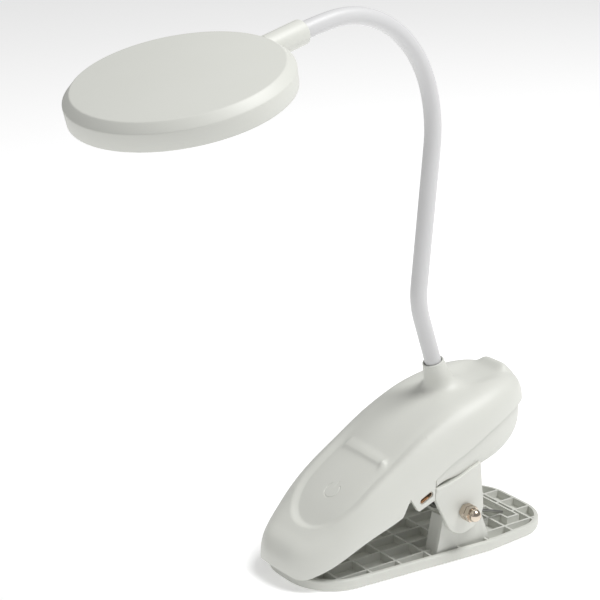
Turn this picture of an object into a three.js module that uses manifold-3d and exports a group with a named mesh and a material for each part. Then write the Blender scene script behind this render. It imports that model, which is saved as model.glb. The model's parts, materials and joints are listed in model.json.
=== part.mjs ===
// Clip-on reading lamp: a sprung plastic clip that holds a battery and touch switch,
// a sleeved gooseneck, and a flat round LED head.
// Millimetres, +Z up. X runs along the clip, from the nose (-X) to the handle end (+X).
// The origin is on the underside of the lower jaw, straight below the clip's pivot.
import * as THREE from 'three';
import * as BufferGeometryUtils from 'three/addons/utils/BufferGeometryUtils.js';
import Module from 'manifold-3d';

const wasm = await Module();
wasm.setup();

// ---------------------------------------------------------------- driving dimensions
const FIT_GAP = 0.3;             // clearance between pieces that touch
const RUNNING_GAP = 0.4;         // clearance between pieces that turn on each other

const PIVOT_HEIGHT = 24.5;       // pivot axis above the surface the lamp stands on
const JAW_LENGTH_FRONT = 82;     // pivot to the nose end of the lower jaw
const JAW_LENGTH_REAR = 59.5;      // pivot to the handle end of the lower jaw
const JAW_HALF_WIDTH = 32.8;
const JAW_THICKNESS = 5.2;
const JAW_FLOOR = 1.2;           // moulded skin under the ribs
const JAW_RIM = 2.2;
const RIB_WIDTH = 1.1;
const RIB_PITCH_X = 16.6;
const RIB_PITCH_Y = 11.6;
const RIB_PHASE_X = -1.3;        // the transverse rib nearest to the pivot

const EAR_HALF_WIDTH = 31;       // outer faces of the upper ears
const UPPER_EAR = 2.6;           // wall of the upper ears
const LOWER_EAR = 2.2;           // wall of the lower ears
const UPPER_EAR_RADIUS = 11.4;
const LOWER_EAR_RADIUS = 10;
const FLANGE_DEPTH = 8.7;        // stiffening flange on the front of each lower ear

const BODY_NOSE = -88;           // ends of the upper jaw
const BODY_REAR = 53;
const BODY_HALF_WIDTH = 31;
const BODY_WIDEST = -10;
const SHELL_WALL = 2;

const BOLT_DIAMETER = 4;
const NUT_FLATS = 7;
const NUT_HEIGHT = 3;
const BUSH_WALL = 1.2;
const SPRING_WIRE = 1.6;
const SPRING_MEAN_RADIUS = 5.3;
const SPRING_TURNS = 6;
const SPRING_LEG = 33;

const NECK_DIAMETER = 8;
const NECK_CORE_DIAMETER = 4.6;
const NECK_BORE_DIAMETER = 5.2;
const NECK_LEAN = 18.2;           // degrees the boss leans towards the nose
const NECK_YAW = 5.85;           // degrees the bent neck is turned about the boss
// Each stretch of the neck: its length, and the degrees it bends by.
const NECK_ARCS = [[23.4, 0], [16.8, -25.6], [63.9, 0], [31.6, 26.7], [72.1, 79.3], [16.5, 5.2]];
const NECK_FIRST_JOINT = 15;
const NECK_JOINTS = 6;
const NECK_LAST_LINK = 12;       // neck length past the last joint
const BOSS_HEIGHT = 14.616;         // boss rim above the top shell
const BOSS_X = 4;

const HEAD_RADIUS = 48.2;
const HEAD_CHAMFER_IN = 3.6;
const HEAD_CHAMFER_UP = 3.6;
const HEAD_WALL_HEIGHT = 8;
const HEAD_SKIN = 1.6;
const HEAD_TWIST = -4.6;         // degrees about the collar
const COLLAR_DIAMETER = 11.4;
const COLLAR_LENGTH = 19;
const COLLAR_DROP = 0.9;           // the collar's axis below the middle of the head

const USB_WIDTH = 8.2;
const USB_HEIGHT = 3.2;
const SCREW_DIAMETER = 2.6;

// ---------------------------------------------------------------- materials
const plastic = (color, roughness = 0.55) => new THREE.MeshStandardMaterial({ color, roughness });
const metal = (color, roughness = 0.3) => new THREE.MeshStandardMaterial({ color, roughness, metalness: 1 });
const shellPlastic = plastic(0xd3d4ce);
const jawPlastic = plastic(0xc8c9c3);
const siliconeSleeve = plastic(0xdadada, 0.5);
const opal = plastic(0xf4f2ea, 0.35);
const board = plastic(0x2f6b4a, 0.6);
const boardWhite = plastic(0xf0f0ec, 0.5);
const nickel = metal(0xc9bfb2, 0.25);
const steel = metal(0x8d8d8b, 0.4);
const cellWrap = plastic(0x7fa6b8, 0.5);

// ---------------------------------------------------------------- solids
const degrees = (angle) => angle * Math.PI / 180;
const lamp = new THREE.Group();

function solidOf(geometry) {
  const bare = geometry.clone();
  bare.deleteAttribute('normal');
  bare.deleteAttribute('uv');
  const merged = BufferGeometryUtils.mergeVertices(bare, 1e-4);
  return new wasm.Manifold(new wasm.Mesh({
    numProp: 3,
    vertProperties: new Float32Array(merged.attributes.position.array),
    triVerts: new Uint32Array(merged.index.array),
  }));
}

function geometryOf(solid) {
  const mesh = solid.getMesh();
  const geometry = new THREE.BufferGeometry();
  geometry.setAttribute('position', new THREE.BufferAttribute(new Float32Array(mesh.vertProperties), 3));
  geometry.setIndex(new THREE.BufferAttribute(new Uint32Array(mesh.triVerts), 1));
  geometry.computeVertexNormals();
  return geometry;
}

const join = (...solids) => solids.reduce((a, b) => a.add(b));
const cut = (solid, ...tools) => tools.reduce((a, b) => a.subtract(b), solid);

function add(name, solid, material, parent = lamp) {
  const mesh = new THREE.Mesh(geometryOf(solid), material);
  mesh.name = name;
  parent.add(mesh);
  return mesh;
}

function box(x0, x1, y0, y1, z0, z1) {
  const geometry = new THREE.BoxGeometry(x1 - x0, y1 - y0, z1 - z0);
  return solidOf(geometry.translate((x0 + x1) / 2, (y0 + y1) / 2, (z0 + z1) / 2));
}

// A cylinder, cone or hexagon along Y between y0 and y1, round the point (x, z).
function barY(radius, x, z, y0, y1, sides = 24) {
  const geometry = new THREE.CylinderGeometry(radius, radius, y1 - y0, sides);
  return solidOf(geometry.translate(x, (y0 + y1) / 2, z));
}

function barZ(radius, x, y, z0, z1, sides = 20) {
  const geometry = new THREE.CylinderGeometry(radius, radius, z1 - z0, sides).rotateX(Math.PI / 2);
  return solidOf(geometry.translate(x, y, (z0 + z1) / 2));
}

const ball = (radius, x, y, z, across = 16, down = 10) =>
  solidOf(new THREE.SphereGeometry(radius, across, down).translate(x, y, z));

// A profile of [radius, height] pairs turned about Z.
const turned = (profile, sides = 32) => solidOf(
  new THREE.LatheGeometry(profile.map(([r, h]) => new THREE.Vector2(r, h)), sides).rotateX(Math.PI / 2));

const outline = (points) => new THREE.Shape(points.map(([a, b]) => new THREE.Vector2(a, b)));

const plate = (points, z0, z1) => solidOf(
  new THREE.ExtrudeGeometry(outline(points), { depth: z1 - z0, bevelEnabled: false }).translate(0, 0, z0));

// An outline of [x, z] pairs given a thickness from y0 to y1.
const slab = (points, y0, y1) => solidOf(
  new THREE.ExtrudeGeometry(outline(points), { depth: Math.abs(y1 - y0), bevelEnabled: false })
    .rotateX(Math.PI / 2).translate(0, Math.max(y0, y1), 0));

// A closed skin over rings of equal count, with flat ends.
function loft(rings) {
  const count = rings[0].length;
  const positions = rings.flat(2);
  const faces = [];
  for (let i = 0; i + 1 < rings.length; i += 1) {
    for (let j = 0; j < count; j += 1) {
      const a = i * count + j;
      const b = i * count + (j + 1) % count;
      faces.push(a, b, b + count, a, b + count, a + count);
    }
  }
  const last = (rings.length - 1) * count;
  for (let j = 1; j + 1 < count; j += 1) {
    faces.push(0, j + 1, j, last, last + j, last + j + 1);
  }
  const geometry = new THREE.BufferGeometry();
  geometry.setAttribute('position', new THREE.BufferAttribute(new Float32Array(positions), 3));
  geometry.setIndex(faces);
  return solidOf(geometry);
}

const arc = (x, z, radius, from, to, steps) => Array.from({ length: steps + 1 }, (_, i) => {
  const angle = degrees(from + (to - from) * i / steps);
  return [x + radius * Math.cos(angle), z + radius * Math.sin(angle)];
});

// The outline that a belt would take round a set of points.
function hull(points) {
  const sorted = [...points].sort((a, b) => a[0] - b[0] || a[1] - b[1]);
  const turn = (o, a, b) => (a[0] - o[0]) * (b[1] - o[1]) - (a[1] - o[1]) * (b[0] - o[0]);
  const half = (list) => {
    const chain = [];
    for (const point of list) {
      while (chain.length > 1 && turn(chain.at(-2), chain.at(-1), point) <= 1e-6) {
        chain.pop();
      }
      chain.push(point);
    }
    return chain.slice(0, -1);
  };
  return [...half(sorted), ...half(sorted.reverse())];
}

// ---------------------------------------------------------------- lower jaw
const NOSE_CORNER = 24;
const SIDE_CORNER = 20;
const REAR_CORNER = 22;
const NOSE_HALF_WIDTH = JAW_HALF_WIDTH - 4.5;
const REAR_HALF_WIDTH = JAW_HALF_WIDTH - 2.3;

// The board's outline, drawn in by `inset` all round.
function jawOutline(inset) {
  const corners = [
    [-JAW_LENGTH_FRONT + NOSE_CORNER, NOSE_HALF_WIDTH - NOSE_CORNER, NOSE_CORNER],
    [15, JAW_HALF_WIDTH - SIDE_CORNER, SIDE_CORNER],
    [JAW_LENGTH_REAR - REAR_CORNER, REAR_HALF_WIDTH - REAR_CORNER, REAR_CORNER],
  ];
  const rounds = corners.flatMap(([x, y, r]) => [
    arc(x, y, r - inset, 0, 360, 36),
    arc(x, -y, r - inset, 0, 360, 36)]);
  return hull(rounds.flat());
}

const LOWER_EAR_FACE = EAR_HALF_WIDTH - UPPER_EAR - RUNNING_GAP;
const LOWER_EAR_BACK = LOWER_EAR_FACE - LOWER_EAR;
const FLANGE_WALL = 1.8;
const EAR_FRONT = -14.5;
const EAR_REAR = 19.5;
const BOLT_HOLE = BOLT_DIAMETER / 2 + FIT_GAP;
const POCKET_X = 40;             // two bars across the board that hold the spring's lower leg
const POCKET_LENGTH = 5.5;
const POCKET_HALF_WIDTH = 16;

function jawRibs() {
  const ribs = [];
  for (let k = -5; k <= 4; k += 1) {
    const x = RIB_PHASE_X + k * RIB_PITCH_X;
    ribs.push(box(x - RIB_WIDTH / 2, x + RIB_WIDTH / 2, -JAW_HALF_WIDTH, JAW_HALF_WIDTH, 0, JAW_THICKNESS));
  }
  for (let k = -2; k <= 2; k += 1) {
    const y = k * RIB_PITCH_Y;
    ribs.push(box(-JAW_LENGTH_FRONT, JAW_LENGTH_REAR, y - RIB_WIDTH / 2, y + RIB_WIDTH / 2, 0, JAW_THICKNESS));
  }
  const pocket = box(POCKET_X, POCKET_X + POCKET_LENGTH, -POCKET_HALF_WIDTH, POCKET_HALF_WIDTH, 0, JAW_THICKNESS);
  const frame = (grow) => box(POCKET_X - grow, POCKET_X + POCKET_LENGTH + grow,
    -POCKET_HALF_WIDTH - grow, POCKET_HALF_WIDTH + grow, 0, JAW_THICKNESS);
  return join(cut(join(...ribs), pocket), cut(frame(RIB_WIDTH), pocket));
}

function lowerEar(side) {
  const profile = hull([
    ...arc(0, PIVOT_HEIGHT, LOWER_EAR_RADIUS, -20, 200, 18),
    [EAR_FRONT, JAW_FLOOR / 2], [EAR_REAR, JAW_FLOOR / 2],
  ]);
  const wall = slab(profile, side * LOWER_EAR_FACE, side * LOWER_EAR_BACK);
  const lean = (PIVOT_HEIGHT - JAW_FLOOR) / (-LOWER_EAR_RADIUS - EAR_FRONT);
  const top = PIVOT_HEIGHT - 2;
  const topX = EAR_FRONT + (top - JAW_FLOOR) / lean;
  const flange = slab([
    [EAR_FRONT, JAW_FLOOR / 2], [EAR_FRONT + FLANGE_WALL, JAW_FLOOR / 2],
    [topX + FLANGE_WALL, top], [topX, top],
  ], side * LOWER_EAR_FACE, side * (LOWER_EAR_FACE - FLANGE_DEPTH));
  return cut(join(wall, flange), barY(BOLT_HOLE, 0, PIVOT_HEIGHT, -EAR_HALF_WIDTH, EAR_HALF_WIDTH));
}

function lowerJaw() {
  const EDGE = 1.1;              // softened edge of the board
  const boardSolid = join(
    plate(jawOutline(EDGE), 0, JAW_THICKNESS),
    plate(jawOutline(EDGE * 0.3), EDGE * 0.3, JAW_THICKNESS - EDGE * 0.3),
    plate(jawOutline(0), EDGE, JAW_THICKNESS - EDGE),
  );
  const cells = cut(plate(jawOutline(JAW_RIM), JAW_FLOOR, JAW_THICKNESS + 1), jawRibs());
  return join(cut(boardSolid, cells), lowerEar(-1), lowerEar(1));
}
add('lower_jaw', lowerJaw(), jawPlastic);

// ---------------------------------------------------------------- upper jaw shells
// A height along X that passes smoothly through a few points.
function heightCurve(points) {
  const curve = new THREE.CatmullRomCurve3(
    points.map(([x, z]) => new THREE.Vector3(x, 0, z)), false, 'centripetal');
  const table = curve.getPoints(points.length * 12);
  return (x) => {
    const k = Math.min(Math.max(table.findIndex((p) => p.x >= x), 1), table.length - 1);
    const [a, b] = [table[k - 1], table[k]];
    return a.z + (b.z - a.z) * Math.min(Math.max((x - a.x) / (b.x - a.x), 0), 1);
  };
}

const crestHeight = heightCurve([
  [BODY_NOSE, 9], [BODY_NOSE + 1, 14.5], [BODY_NOSE + 4, 19.6], [-77, 23.9], [-70, 28.8], [-61, 36.8], [-50, 45.4],
  [-35.5, 54.8], [-18, 65.5], [0, 73.2], [16.5, 77.3], [27, 79], [38, 79.2], [45, 77.4], [50, 73],
  [BODY_REAR, 66.5],
]);
const rimHeight = heightCurve([
  [BODY_NOSE, 8], [BODY_NOSE + 4, 6], [-75, 10.5], [-56, 22], [-36, 30.3], [-27, 37.2], [-17.8, 43.8],
  [-10.5, 48.4], [6.2, 55.8], [15.5, 60], [28.4, 64.2], [37, 66], [45, 66.2], [BODY_REAR, 65.2],
]);
const bellyHeight = heightCurve([
  [BODY_NOSE, 9.5], [BODY_NOSE + 4, 7.4], [-75, 11.8], [-56, 23.2], [-36, 31.6], [-24, 36.8], [-12, 38.6], [0, 38.6],
  [15, 40.4], [28, 43], [40, 48], [47, 53.5], [BODY_REAR, 61],
]);

function halfWidth(x) {
  const nose = x < BODY_WIDEST;
  const reach = nose ? BODY_WIDEST - BODY_NOSE : BODY_REAR - BODY_WIDEST;
  const [p, q] = nose ? [3.6, 2.6] : [2.8, 2.1];
  return BODY_HALF_WIDTH * Math.max(0, 1 - Math.abs((x - BODY_WIDEST) / reach) ** p) ** (1 / q);
}

// The thumb rest: a shallow scoop behind the neck, with a raised lip at the handle end.
const LIP_X = 43;
const LIP_HALF_WIDTH = 9;
const LIP_HEIGHT = 5.6;
const SCOOP_X = 29;
const SCOOP_HALF_WIDTH = 14;
const SCOOP_DEPTH = 1.8;

function thumbRest(x, y) {
  const bump = (u) => Math.exp(-(u ** 4));
  const lip = LIP_HEIGHT * Math.exp(-(((x - LIP_X) / 3.6) ** 2)) * bump(y / LIP_HALF_WIDTH);
  const scoop = SCOOP_DEPTH * Math.exp(-(((x - SCOOP_X) / 8) ** 2)) * bump(y / SCOOP_HALF_WIDTH);
  return lip - scoop;
}

// Heights across the body run as a flattened arch: level on top, round at the shoulders.
function shellSection(x, inset, drop) {
  const width = halfWidth(x) - inset;
  const rim = rimHeight(x) - drop;
  const rise = Math.max(crestHeight(x) - inset - rim, 0.8);
  const STEPS = 14;
  return Array.from({ length: STEPS + 1 }, (_, i) => {
    const angle = Math.PI * i / STEPS;
    const y = width * Math.sign(Math.cos(angle)) * Math.abs(Math.cos(angle)) ** (2 / 5);
    const lift = Math.max(Math.sin(angle), 0) ** (2 / 2.2);
    return [x, y, rim + rise * lift + thumbRest(x, y) * lift];
  });
}

function stations(from, to, extra) {
  const STEPS = 14;
  const even = Array.from({ length: STEPS + 1 }, (_, i) => from + (to - from) * (1 - Math.cos(Math.PI * i / STEPS)) / 2);
  return [...even, ...extra.filter((x) => x > from && x < to)].sort((a, b) => a - b)
    .filter((x, i, list) => i === 0 || x - list[i - 1] > 0.4);
}

const LIP_STATIONS = [-6, -3, 0, 3, 6].map((d) => LIP_X + d);
const END_INSET = 0.4;           // the loft's end faces stop just short of the rounded tips
const shellBlank = (inset, drop) => loft(
  stations(BODY_NOSE + END_INSET + inset, BODY_REAR - END_INSET - inset, LIP_STATIONS)
    .map((x) => shellSection(x, inset, drop)));

const TUB_GAP = SHELL_WALL + FIT_GAP;
const TUB_WALL = 1.8;
const TUB_OVERLAP = 3;           // how far the bottom shell reaches up inside the skirt

function tubSection(x, inset) {
  const width = halfWidth(x) - TUB_GAP - inset;
  const bottom = bellyHeight(x) + inset;
  const top = rimHeight(x) + TUB_OVERLAP + (inset > 0 ? 2 : -inset);
  const spring = Math.max(rimHeight(x), bottom + 1.2);
  const STEPS = 12;
  const belly = Array.from({ length: STEPS + 1 }, (_, i) => {
    const angle = Math.PI * i / STEPS;
    const y = width * Math.sign(Math.cos(angle)) * Math.abs(Math.cos(angle)) ** (2 / 3);
    return [x, -y, spring - (spring - bottom) * Math.max(Math.sin(angle), 0) ** (2 / 3)];
  });
  return [...belly, [x, width, Math.max(top, spring + 0.4)], [x, -width, Math.max(top, spring + 0.4)]];
}

const TUB_NOSE = BODY_NOSE + 4.6;
const TUB_REAR = BODY_REAR - 3.4;
const tubBlank = (inset) => loft(
  stations(TUB_NOSE + inset, TUB_REAR - inset, []).map((x) => tubSection(x, inset)));

const BOSS_Z = crestHeight(BOSS_X) + BOSS_HEIGHT;
const neckRoot = new THREE.Group();      // its Z is the boss axis, its origin the boss rim
neckRoot.position.set(BOSS_X, 0, BOSS_Z);
neckRoot.rotation.y = degrees(-NECK_LEAN);
neckRoot.updateMatrix();
const inBossFrame = (geometry) => solidOf(geometry.applyMatrix4(neckRoot.matrix));

const BOSS_BORE = NECK_DIAMETER / 2 + FIT_GAP + 0.1;
const BOSS_RIM = BOSS_BORE + 1;
const BOSS_FOOT = BOSS_HEIGHT + 3.5;

function bossFlare() {
  const profile = [
    [0, -BOSS_FOOT], [17, -BOSS_FOOT], [14.5, -16.8], [11, -14.6], [8.6, -11.6], [7, -7.8],
    [6.1, -4], [BOSS_RIM, -0.4], [BOSS_RIM - 0.4, 0], [0, 0],
  ];
  const geometry = new THREE.LatheGeometry(profile.map(([r, h]) => new THREE.Vector2(r, h)), 28);
  return inBossFrame(geometry.rotateX(Math.PI / 2));
}

const boreTool = (radius, from, to, sides = 24) => inBossFrame(
  new THREE.CylinderGeometry(radius, radius, to - from, sides).rotateX(Math.PI / 2).translate(0, 0, (from + to) / 2));

// The charging socket sits in a tab that hangs from the skirt on the -Y side.
const USB_X = -23.1;
const USB_Z = 36.6;
const USB_TILT = 24.7;
const TAB = [[-32.1, 38], [-27.5, 30.8], [-18.4, 34.1], [-17.8, 46], [-32.1, 46]];
const NOTCH = [[-36.5, 28], [-27.5, 28], [-27.5, 30.8], [-32.1, 38]];

const SCREW_SPOTS = [[-68, -14], [-68, 14], [34, -11], [34, 11]];
const POST_RADIUS = 2.8;
const SCREW_HOLE = SCREW_DIAMETER / 2 + FIT_GAP;
const SCREW_SEAT = 1.4;          // how deep the screw heads are sunk
const SCREW_LENGTH = 7;
const SCREW_DEPTH = SCREW_SEAT + SCREW_LENGTH + FIT_GAP + 0.2;

const usbFrame = new THREE.Group();
usbFrame.position.set(USB_X, 0, USB_Z);
usbFrame.rotation.y = degrees(-USB_TILT);
usbFrame.updateMatrix();

// A round-ended bar along Y, as wide as the socket's mouth.
function usbBar(width, height, y0, y1) {
  const r = height / 2 - 0.01;
  const side = width / 2 - r;
  const shape = outline([...arc(side, 0, r, -90, 90, 6), ...arc(-side, 0, r, 90, 270, 6)]);
  const geometry = new THREE.ExtrudeGeometry(shape, { depth: y1 - y0, bevelEnabled: false });
  return solidOf(geometry.rotateX(Math.PI / 2).translate(0, y1, 0).applyMatrix4(usbFrame.matrix));
}

function topShell() {
  const hollow = shellBlank(SHELL_WALL, 1.5);
  const posts = SCREW_SPOTS.map(([x, y]) => cut(
    barZ(POST_RADIUS, x, y, bellyHeight(x) + TUB_WALL + FIT_GAP + 1.6, crestHeight(x) - 1, 14),
    barZ(SCREW_HOLE, x, y, 0, bellyHeight(x) + SCREW_DEPTH, 14)));
  const skin = cut(join(shellBlank(0, 0), bossFlare()), hollow, tubBlank(-FIT_GAP));
  const notched = cut(skin, slab(NOTCH, -EAR_HALF_WIDTH - 3, -EAR_HALF_WIDTH + 8));
  const tab = slab(TAB, -EAR_HALF_WIDTH, -EAR_HALF_WIDTH + SHELL_WALL);
  const inside = posts.map((post) => post.intersect(shellBlank(SHELL_WALL / 2, 6)));
  return cut(join(notched, tab, ...inside), boreTool(BOSS_BORE, -BOSS_FOOT - 6, 1),
    usbBar(USB_WIDTH, USB_HEIGHT, -EAR_HALF_WIDTH - 1, -EAR_HALF_WIDTH + 4));
}
add('top_shell', topShell(), shellPlastic);

function upperEar(side) {
  const foot = arc(0, PIVOT_HEIGHT, UPPER_EAR_RADIUS, 212, 365, 14);
  const wall = slab([[-18, 34.6], ...foot, [9.2, 46.4], [4, 45], [-3, 42], [-10, 40.2], [-17.2, 39.4]],
    side * EAR_HALF_WIDTH, side * (EAR_HALF_WIDTH - UPPER_EAR));
  const root = slab([[-14, 37.2], [8.9, 37.2], [9.2, 46.4], [4, 45], [-3, 42], [-10, 40.2], [-14, 39.6]],
    side * EAR_HALF_WIDTH, side * (EAR_HALF_WIDTH - UPPER_EAR - 4.4));
  return join(wall, root);
}

function bottomShell() {
  const shell = cut(tubBlank(0), tubBlank(TUB_WALL));
  const window = box(-30, -16.6, -EAR_HALF_WIDTH + SHELL_WALL, -EAR_HALF_WIDTH + 12, 29, 46);
  const pads = SCREW_SPOTS.map(([x, y]) => (
    barZ(POST_RADIUS, x, y, bellyHeight(x) + 0.4, bellyHeight(x) + TUB_WALL + 1.6, 14)));
  const holes = SCREW_SPOTS.flatMap(([x, y]) => [
    barZ(SCREW_HOLE, x, y, 0, 90, 14),
    barZ(SCREW_DIAMETER + 0.2, x, y, 0, bellyHeight(x) + SCREW_SEAT, 14),
  ]);
  return cut(join(cut(shell, window), ...pads, upperEar(-1), upperEar(1)),
    barY(BOLT_HOLE, 0, PIVOT_HEIGHT, -EAR_HALF_WIDTH - 1, EAR_HALF_WIDTH + 1), ...holes);
}
add('bottom_shell', bottomShell(), shellPlastic);

SCREW_SPOTS.forEach(([x, y], i) => {
  const seat = bellyHeight(x) + SCREW_SEAT;
  add(`shell_screw_${i + 1}`, join(
    barZ(SCREW_DIAMETER - 0.4, x, y, seat - 1.3, seat - FIT_GAP, 12),
    barZ(SCREW_DIAMETER / 2, x, y, seat - FIT_GAP - 0.2, seat + SCREW_LENGTH, 10)), steel);
});

// ---------------------------------------------------------------- inside the upper jaw
function tilted(x, z, slope) {
  const group = new THREE.Group();
  group.position.set(x, 0, z);
  group.rotation.y = degrees(-slope);
  lamp.add(group);
  return group;
}

const boardFrame = tilted(-50.8, 35.2, 38);
const BOARD_THICKNESS = 1.2;
add('control_board', box(-13, 13, -15, 15, 0, BOARD_THICKNESS), board, boardFrame);
const TOUCH_SPRING_HEIGHT = 3;
class Helix extends THREE.Curve {
  constructor(radius, pitch, turns) {
    super();
    Object.assign(this, { radius, pitch, turns });
  }

  getPoint(t, target = new THREE.Vector3()) {
    const angle = 2 * Math.PI * this.turns * t;
    return target.set(this.radius * Math.cos(angle), this.pitch * this.turns * t, this.radius * Math.sin(angle));
  }
}
const wire = (curve, radius, sides, steps) => new THREE.ExtrudeGeometry(
  outline(arc(0, 0, radius, 0, 360 - 360 / sides, sides - 1)), { steps, extrudePath: curve, bevelEnabled: false });
const touchCoil = wire(new Helix(3, TOUCH_SPRING_HEIGHT / 3, 3), 0.35, 5, 24).rotateX(Math.PI / 2);
add('touch_spring', solidOf(touchCoil.translate(-4, 0, BOARD_THICKNESS + 0.65)), nickel, boardFrame);

const cellFrame = tilted(-15.5, 48.6, 23);
add('battery_cell', box(-24.5, 24.5, -16, 16, -3.6, 3.6), cellWrap, cellFrame);

const usbShell = cut(usbBar(USB_WIDTH - 2 * FIT_GAP, USB_HEIGHT - 2 * FIT_GAP, -30.6, -25),
  usbBar(USB_WIDTH - 1.4, USB_HEIGHT - 1.4, -31, -25.6));
add('usb_socket', usbShell, nickel);

// ---------------------------------------------------------------- pivot
const halfPivot = EAR_HALF_WIDTH + RUNNING_GAP;
const NUT_RADIUS = NUT_FLATS / Math.sqrt(3);
const nutStart = halfPivot;
const capStart = nutStart + NUT_HEIGHT + FIT_GAP;
const CAP_HEX = 2.4;
const CAP_DOME = 3.1;
const threadHole = (y0, y1) => barY(BOLT_HOLE, 0, PIVOT_HEIGHT, y0, y1, 16);
const hexBar = (y0, y1) => barY(NUT_RADIUS, 0, PIVOT_HEIGHT, y0, y1, 6);
add('pivot_nut', cut(hexBar(-nutStart - NUT_HEIGHT, -nutStart), threadHole(-40, 0)), nickel);
const dome = ball(CAP_DOME, 0, -capStart - CAP_HEX - 1, PIVOT_HEIGHT);
add('pivot_cap_nut', cut(join(hexBar(-capStart - CAP_HEX, -capStart), dome),
  threadHole(-capStart - CAP_HEX - 0.6, 0)), nickel);
const HEAD_SEAT = nutStart + 0.8 + FIT_GAP;
function pivotBolt() {
  const head = new THREE.LatheGeometry(
    [[0, -0.2], [3.6, -0.2], [3.6, 1], [2.9, 2.1], [1.6, 2.7], [0, 2.8]].map(([r, h]) => new THREE.Vector2(r, h)), 20);
  const cap = solidOf(head.translate(0, HEAD_SEAT, PIVOT_HEIGHT));
  return join(cap, barY(BOLT_DIAMETER / 2, 0, PIVOT_HEIGHT, -capStart - CAP_HEX, HEAD_SEAT, 16));
}
add('pivot_bolt', pivotBolt(), nickel);
add('pivot_washer', cut(barY(4.4, 0, PIVOT_HEIGHT, nutStart, nutStart + 0.8), threadHole(0, 40)), nickel);
const bushHalf = LOWER_EAR_BACK - FIT_GAP;
const BUSH_RADIUS = BOLT_HOLE + BUSH_WALL;
add('pivot_bush', cut(barY(BUSH_RADIUS, 0, PIVOT_HEIGHT, -bushHalf, bushHalf, 20), threadHole(-40, 40)), jawPlastic);

// The coil and its lower leg stay with the lower jaw; the upper leg pushes the handle up.
const SPRING_Y = -11;
const SPRING_PITCH = SPRING_WIRE + 0.15;
function springLeg(x0, z0, x1, z1, y) {
  const curve = new THREE.LineCurve3(new THREE.Vector3(x0, y, z0), new THREE.Vector3(x1, y, z1));
  return solidOf(wire(curve, SPRING_WIRE / 2, 8, 1));
}
const coilCurve = new Helix(SPRING_MEAN_RADIUS, SPRING_PITCH, SPRING_TURNS - 0.25);
const coil = solidOf(wire(coilCurve, SPRING_WIRE / 2, 5, 50)
  .rotateY(Math.PI / 2).translate(0, SPRING_Y, PIVOT_HEIGHT));
add('torsion_spring', coil, steel);
const lowerLeg = springLeg(2, PIVOT_HEIGHT - SPRING_MEAN_RADIUS, POCKET_X - 0.6, JAW_THICKNESS + 1.3,
  SPRING_Y - SPRING_WIRE - 0.3);
const upperLegY = SPRING_Y + SPRING_PITCH * SPRING_TURNS + SPRING_WIRE;
const legEnd = SPRING_LEG;
const upperLeg = springLeg(1, PIVOT_HEIGHT + SPRING_MEAN_RADIUS + 0.6, legEnd,
  bellyHeight(legEnd) - SPRING_WIRE / 2 - FIT_GAP - 0.4, upperLegY);
add('torsion_spring_lower_leg', lowerLeg, steel);
add('torsion_spring_upper_leg', upperLeg, steel);

// ---------------------------------------------------------------- gooseneck
neckRoot.rotation.set(0, 0, 0);
neckRoot.quaternion.setFromAxisAngle(new THREE.Vector3(0, 1, 0), degrees(-NECK_LEAN))
  .multiply(new THREE.Quaternion().setFromAxisAngle(new THREE.Vector3(0, 0, 1), degrees(NECK_YAW)));
lamp.add(neckRoot);

const NECK_LENGTH = NECK_ARCS.reduce((sum, [length]) => sum + length, 0);
const NECK_TAIL = 20;            // neck inside the boss, and inside the collar
const COLLAR_GRIP = 9;

// Position and heading at a distance along the neck; beyond either end it runs straight on.
function neckAt(distance) {
  let [x, z, heading, left] = [0, 0, 0, distance];
  if (distance < 0) {
    return { x: 0, z: distance, heading: 0 };
  }
  for (const [length, bend] of NECK_ARCS) {
    const run = Math.min(left, length);
    const turn = degrees(bend) * run / length;
    const chord = Math.abs(turn) > 1e-9 ? run * Math.sin(turn / 2) / (turn / 2) : run;
    x -= chord * Math.sin(heading + turn / 2);
    z += chord * Math.cos(heading + turn / 2);
    heading += turn;
    left -= run;
  }
  return { x: x - left * Math.sin(heading), z: z + left * Math.cos(heading), heading };
}

class NeckCurve extends THREE.Curve {
  constructor(from, to) {
    super();
    Object.assign(this, { from, to });
  }

  getPoint(t, target = new THREE.Vector3()) {
    const { x, z } = neckAt(this.from + (this.to - this.from) * t);
    return target.set(x, 0, z);
  }
}

const neckTube = (diameter, from, to, sides) => solidOf(
  wire(new NeckCurve(from, to), diameter / 2, sides, Math.max(1, Math.round((to - from) / 7.5))));
const jointSpacing = (NECK_LENGTH - NECK_LAST_LINK - NECK_FIRST_JOINT) / (NECK_JOINTS - 1);
const jointAt = (i) => NECK_FIRST_JOINT + i * jointSpacing;
const SOCKET_RADIUS = NECK_DIAMETER / 2 + FIT_GAP + 0.3;

for (let link = 0; link <= NECK_JOINTS; link += 1) {
  const from = link === 0 ? -NECK_TAIL : jointAt(link - 1);
  const to = link === NECK_JOINTS ? NECK_LENGTH + COLLAR_GRIP : jointAt(link);
  let sleeve = neckTube(NECK_DIAMETER, from, to, 10);
  if (link < NECK_JOINTS) {
    const end = neckAt(to);
    sleeve = join(sleeve, ball(NECK_DIAMETER / 2 - 0.02, end.x, 0, end.z, 10, 6));
  }
  if (link > 0) {
    const start = neckAt(from);
    sleeve = cut(sleeve, ball(SOCKET_RADIUS, start.x, 0, start.z, 12, 8));
  }
  sleeve = cut(sleeve, neckTube(NECK_BORE_DIAMETER, from - 1, to + 5, 6));
  add(`neck_sleeve_${link}`, sleeve, siliconeSleeve, neckRoot);
  const coreFrom = link === 0 ? from - 1.5 : from + SOCKET_RADIUS + 0.7;
  add(`neck_core_${link}`, neckTube(NECK_CORE_DIAMETER, coreFrom, to - 0.5, 6), steel, neckRoot);
}

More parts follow.
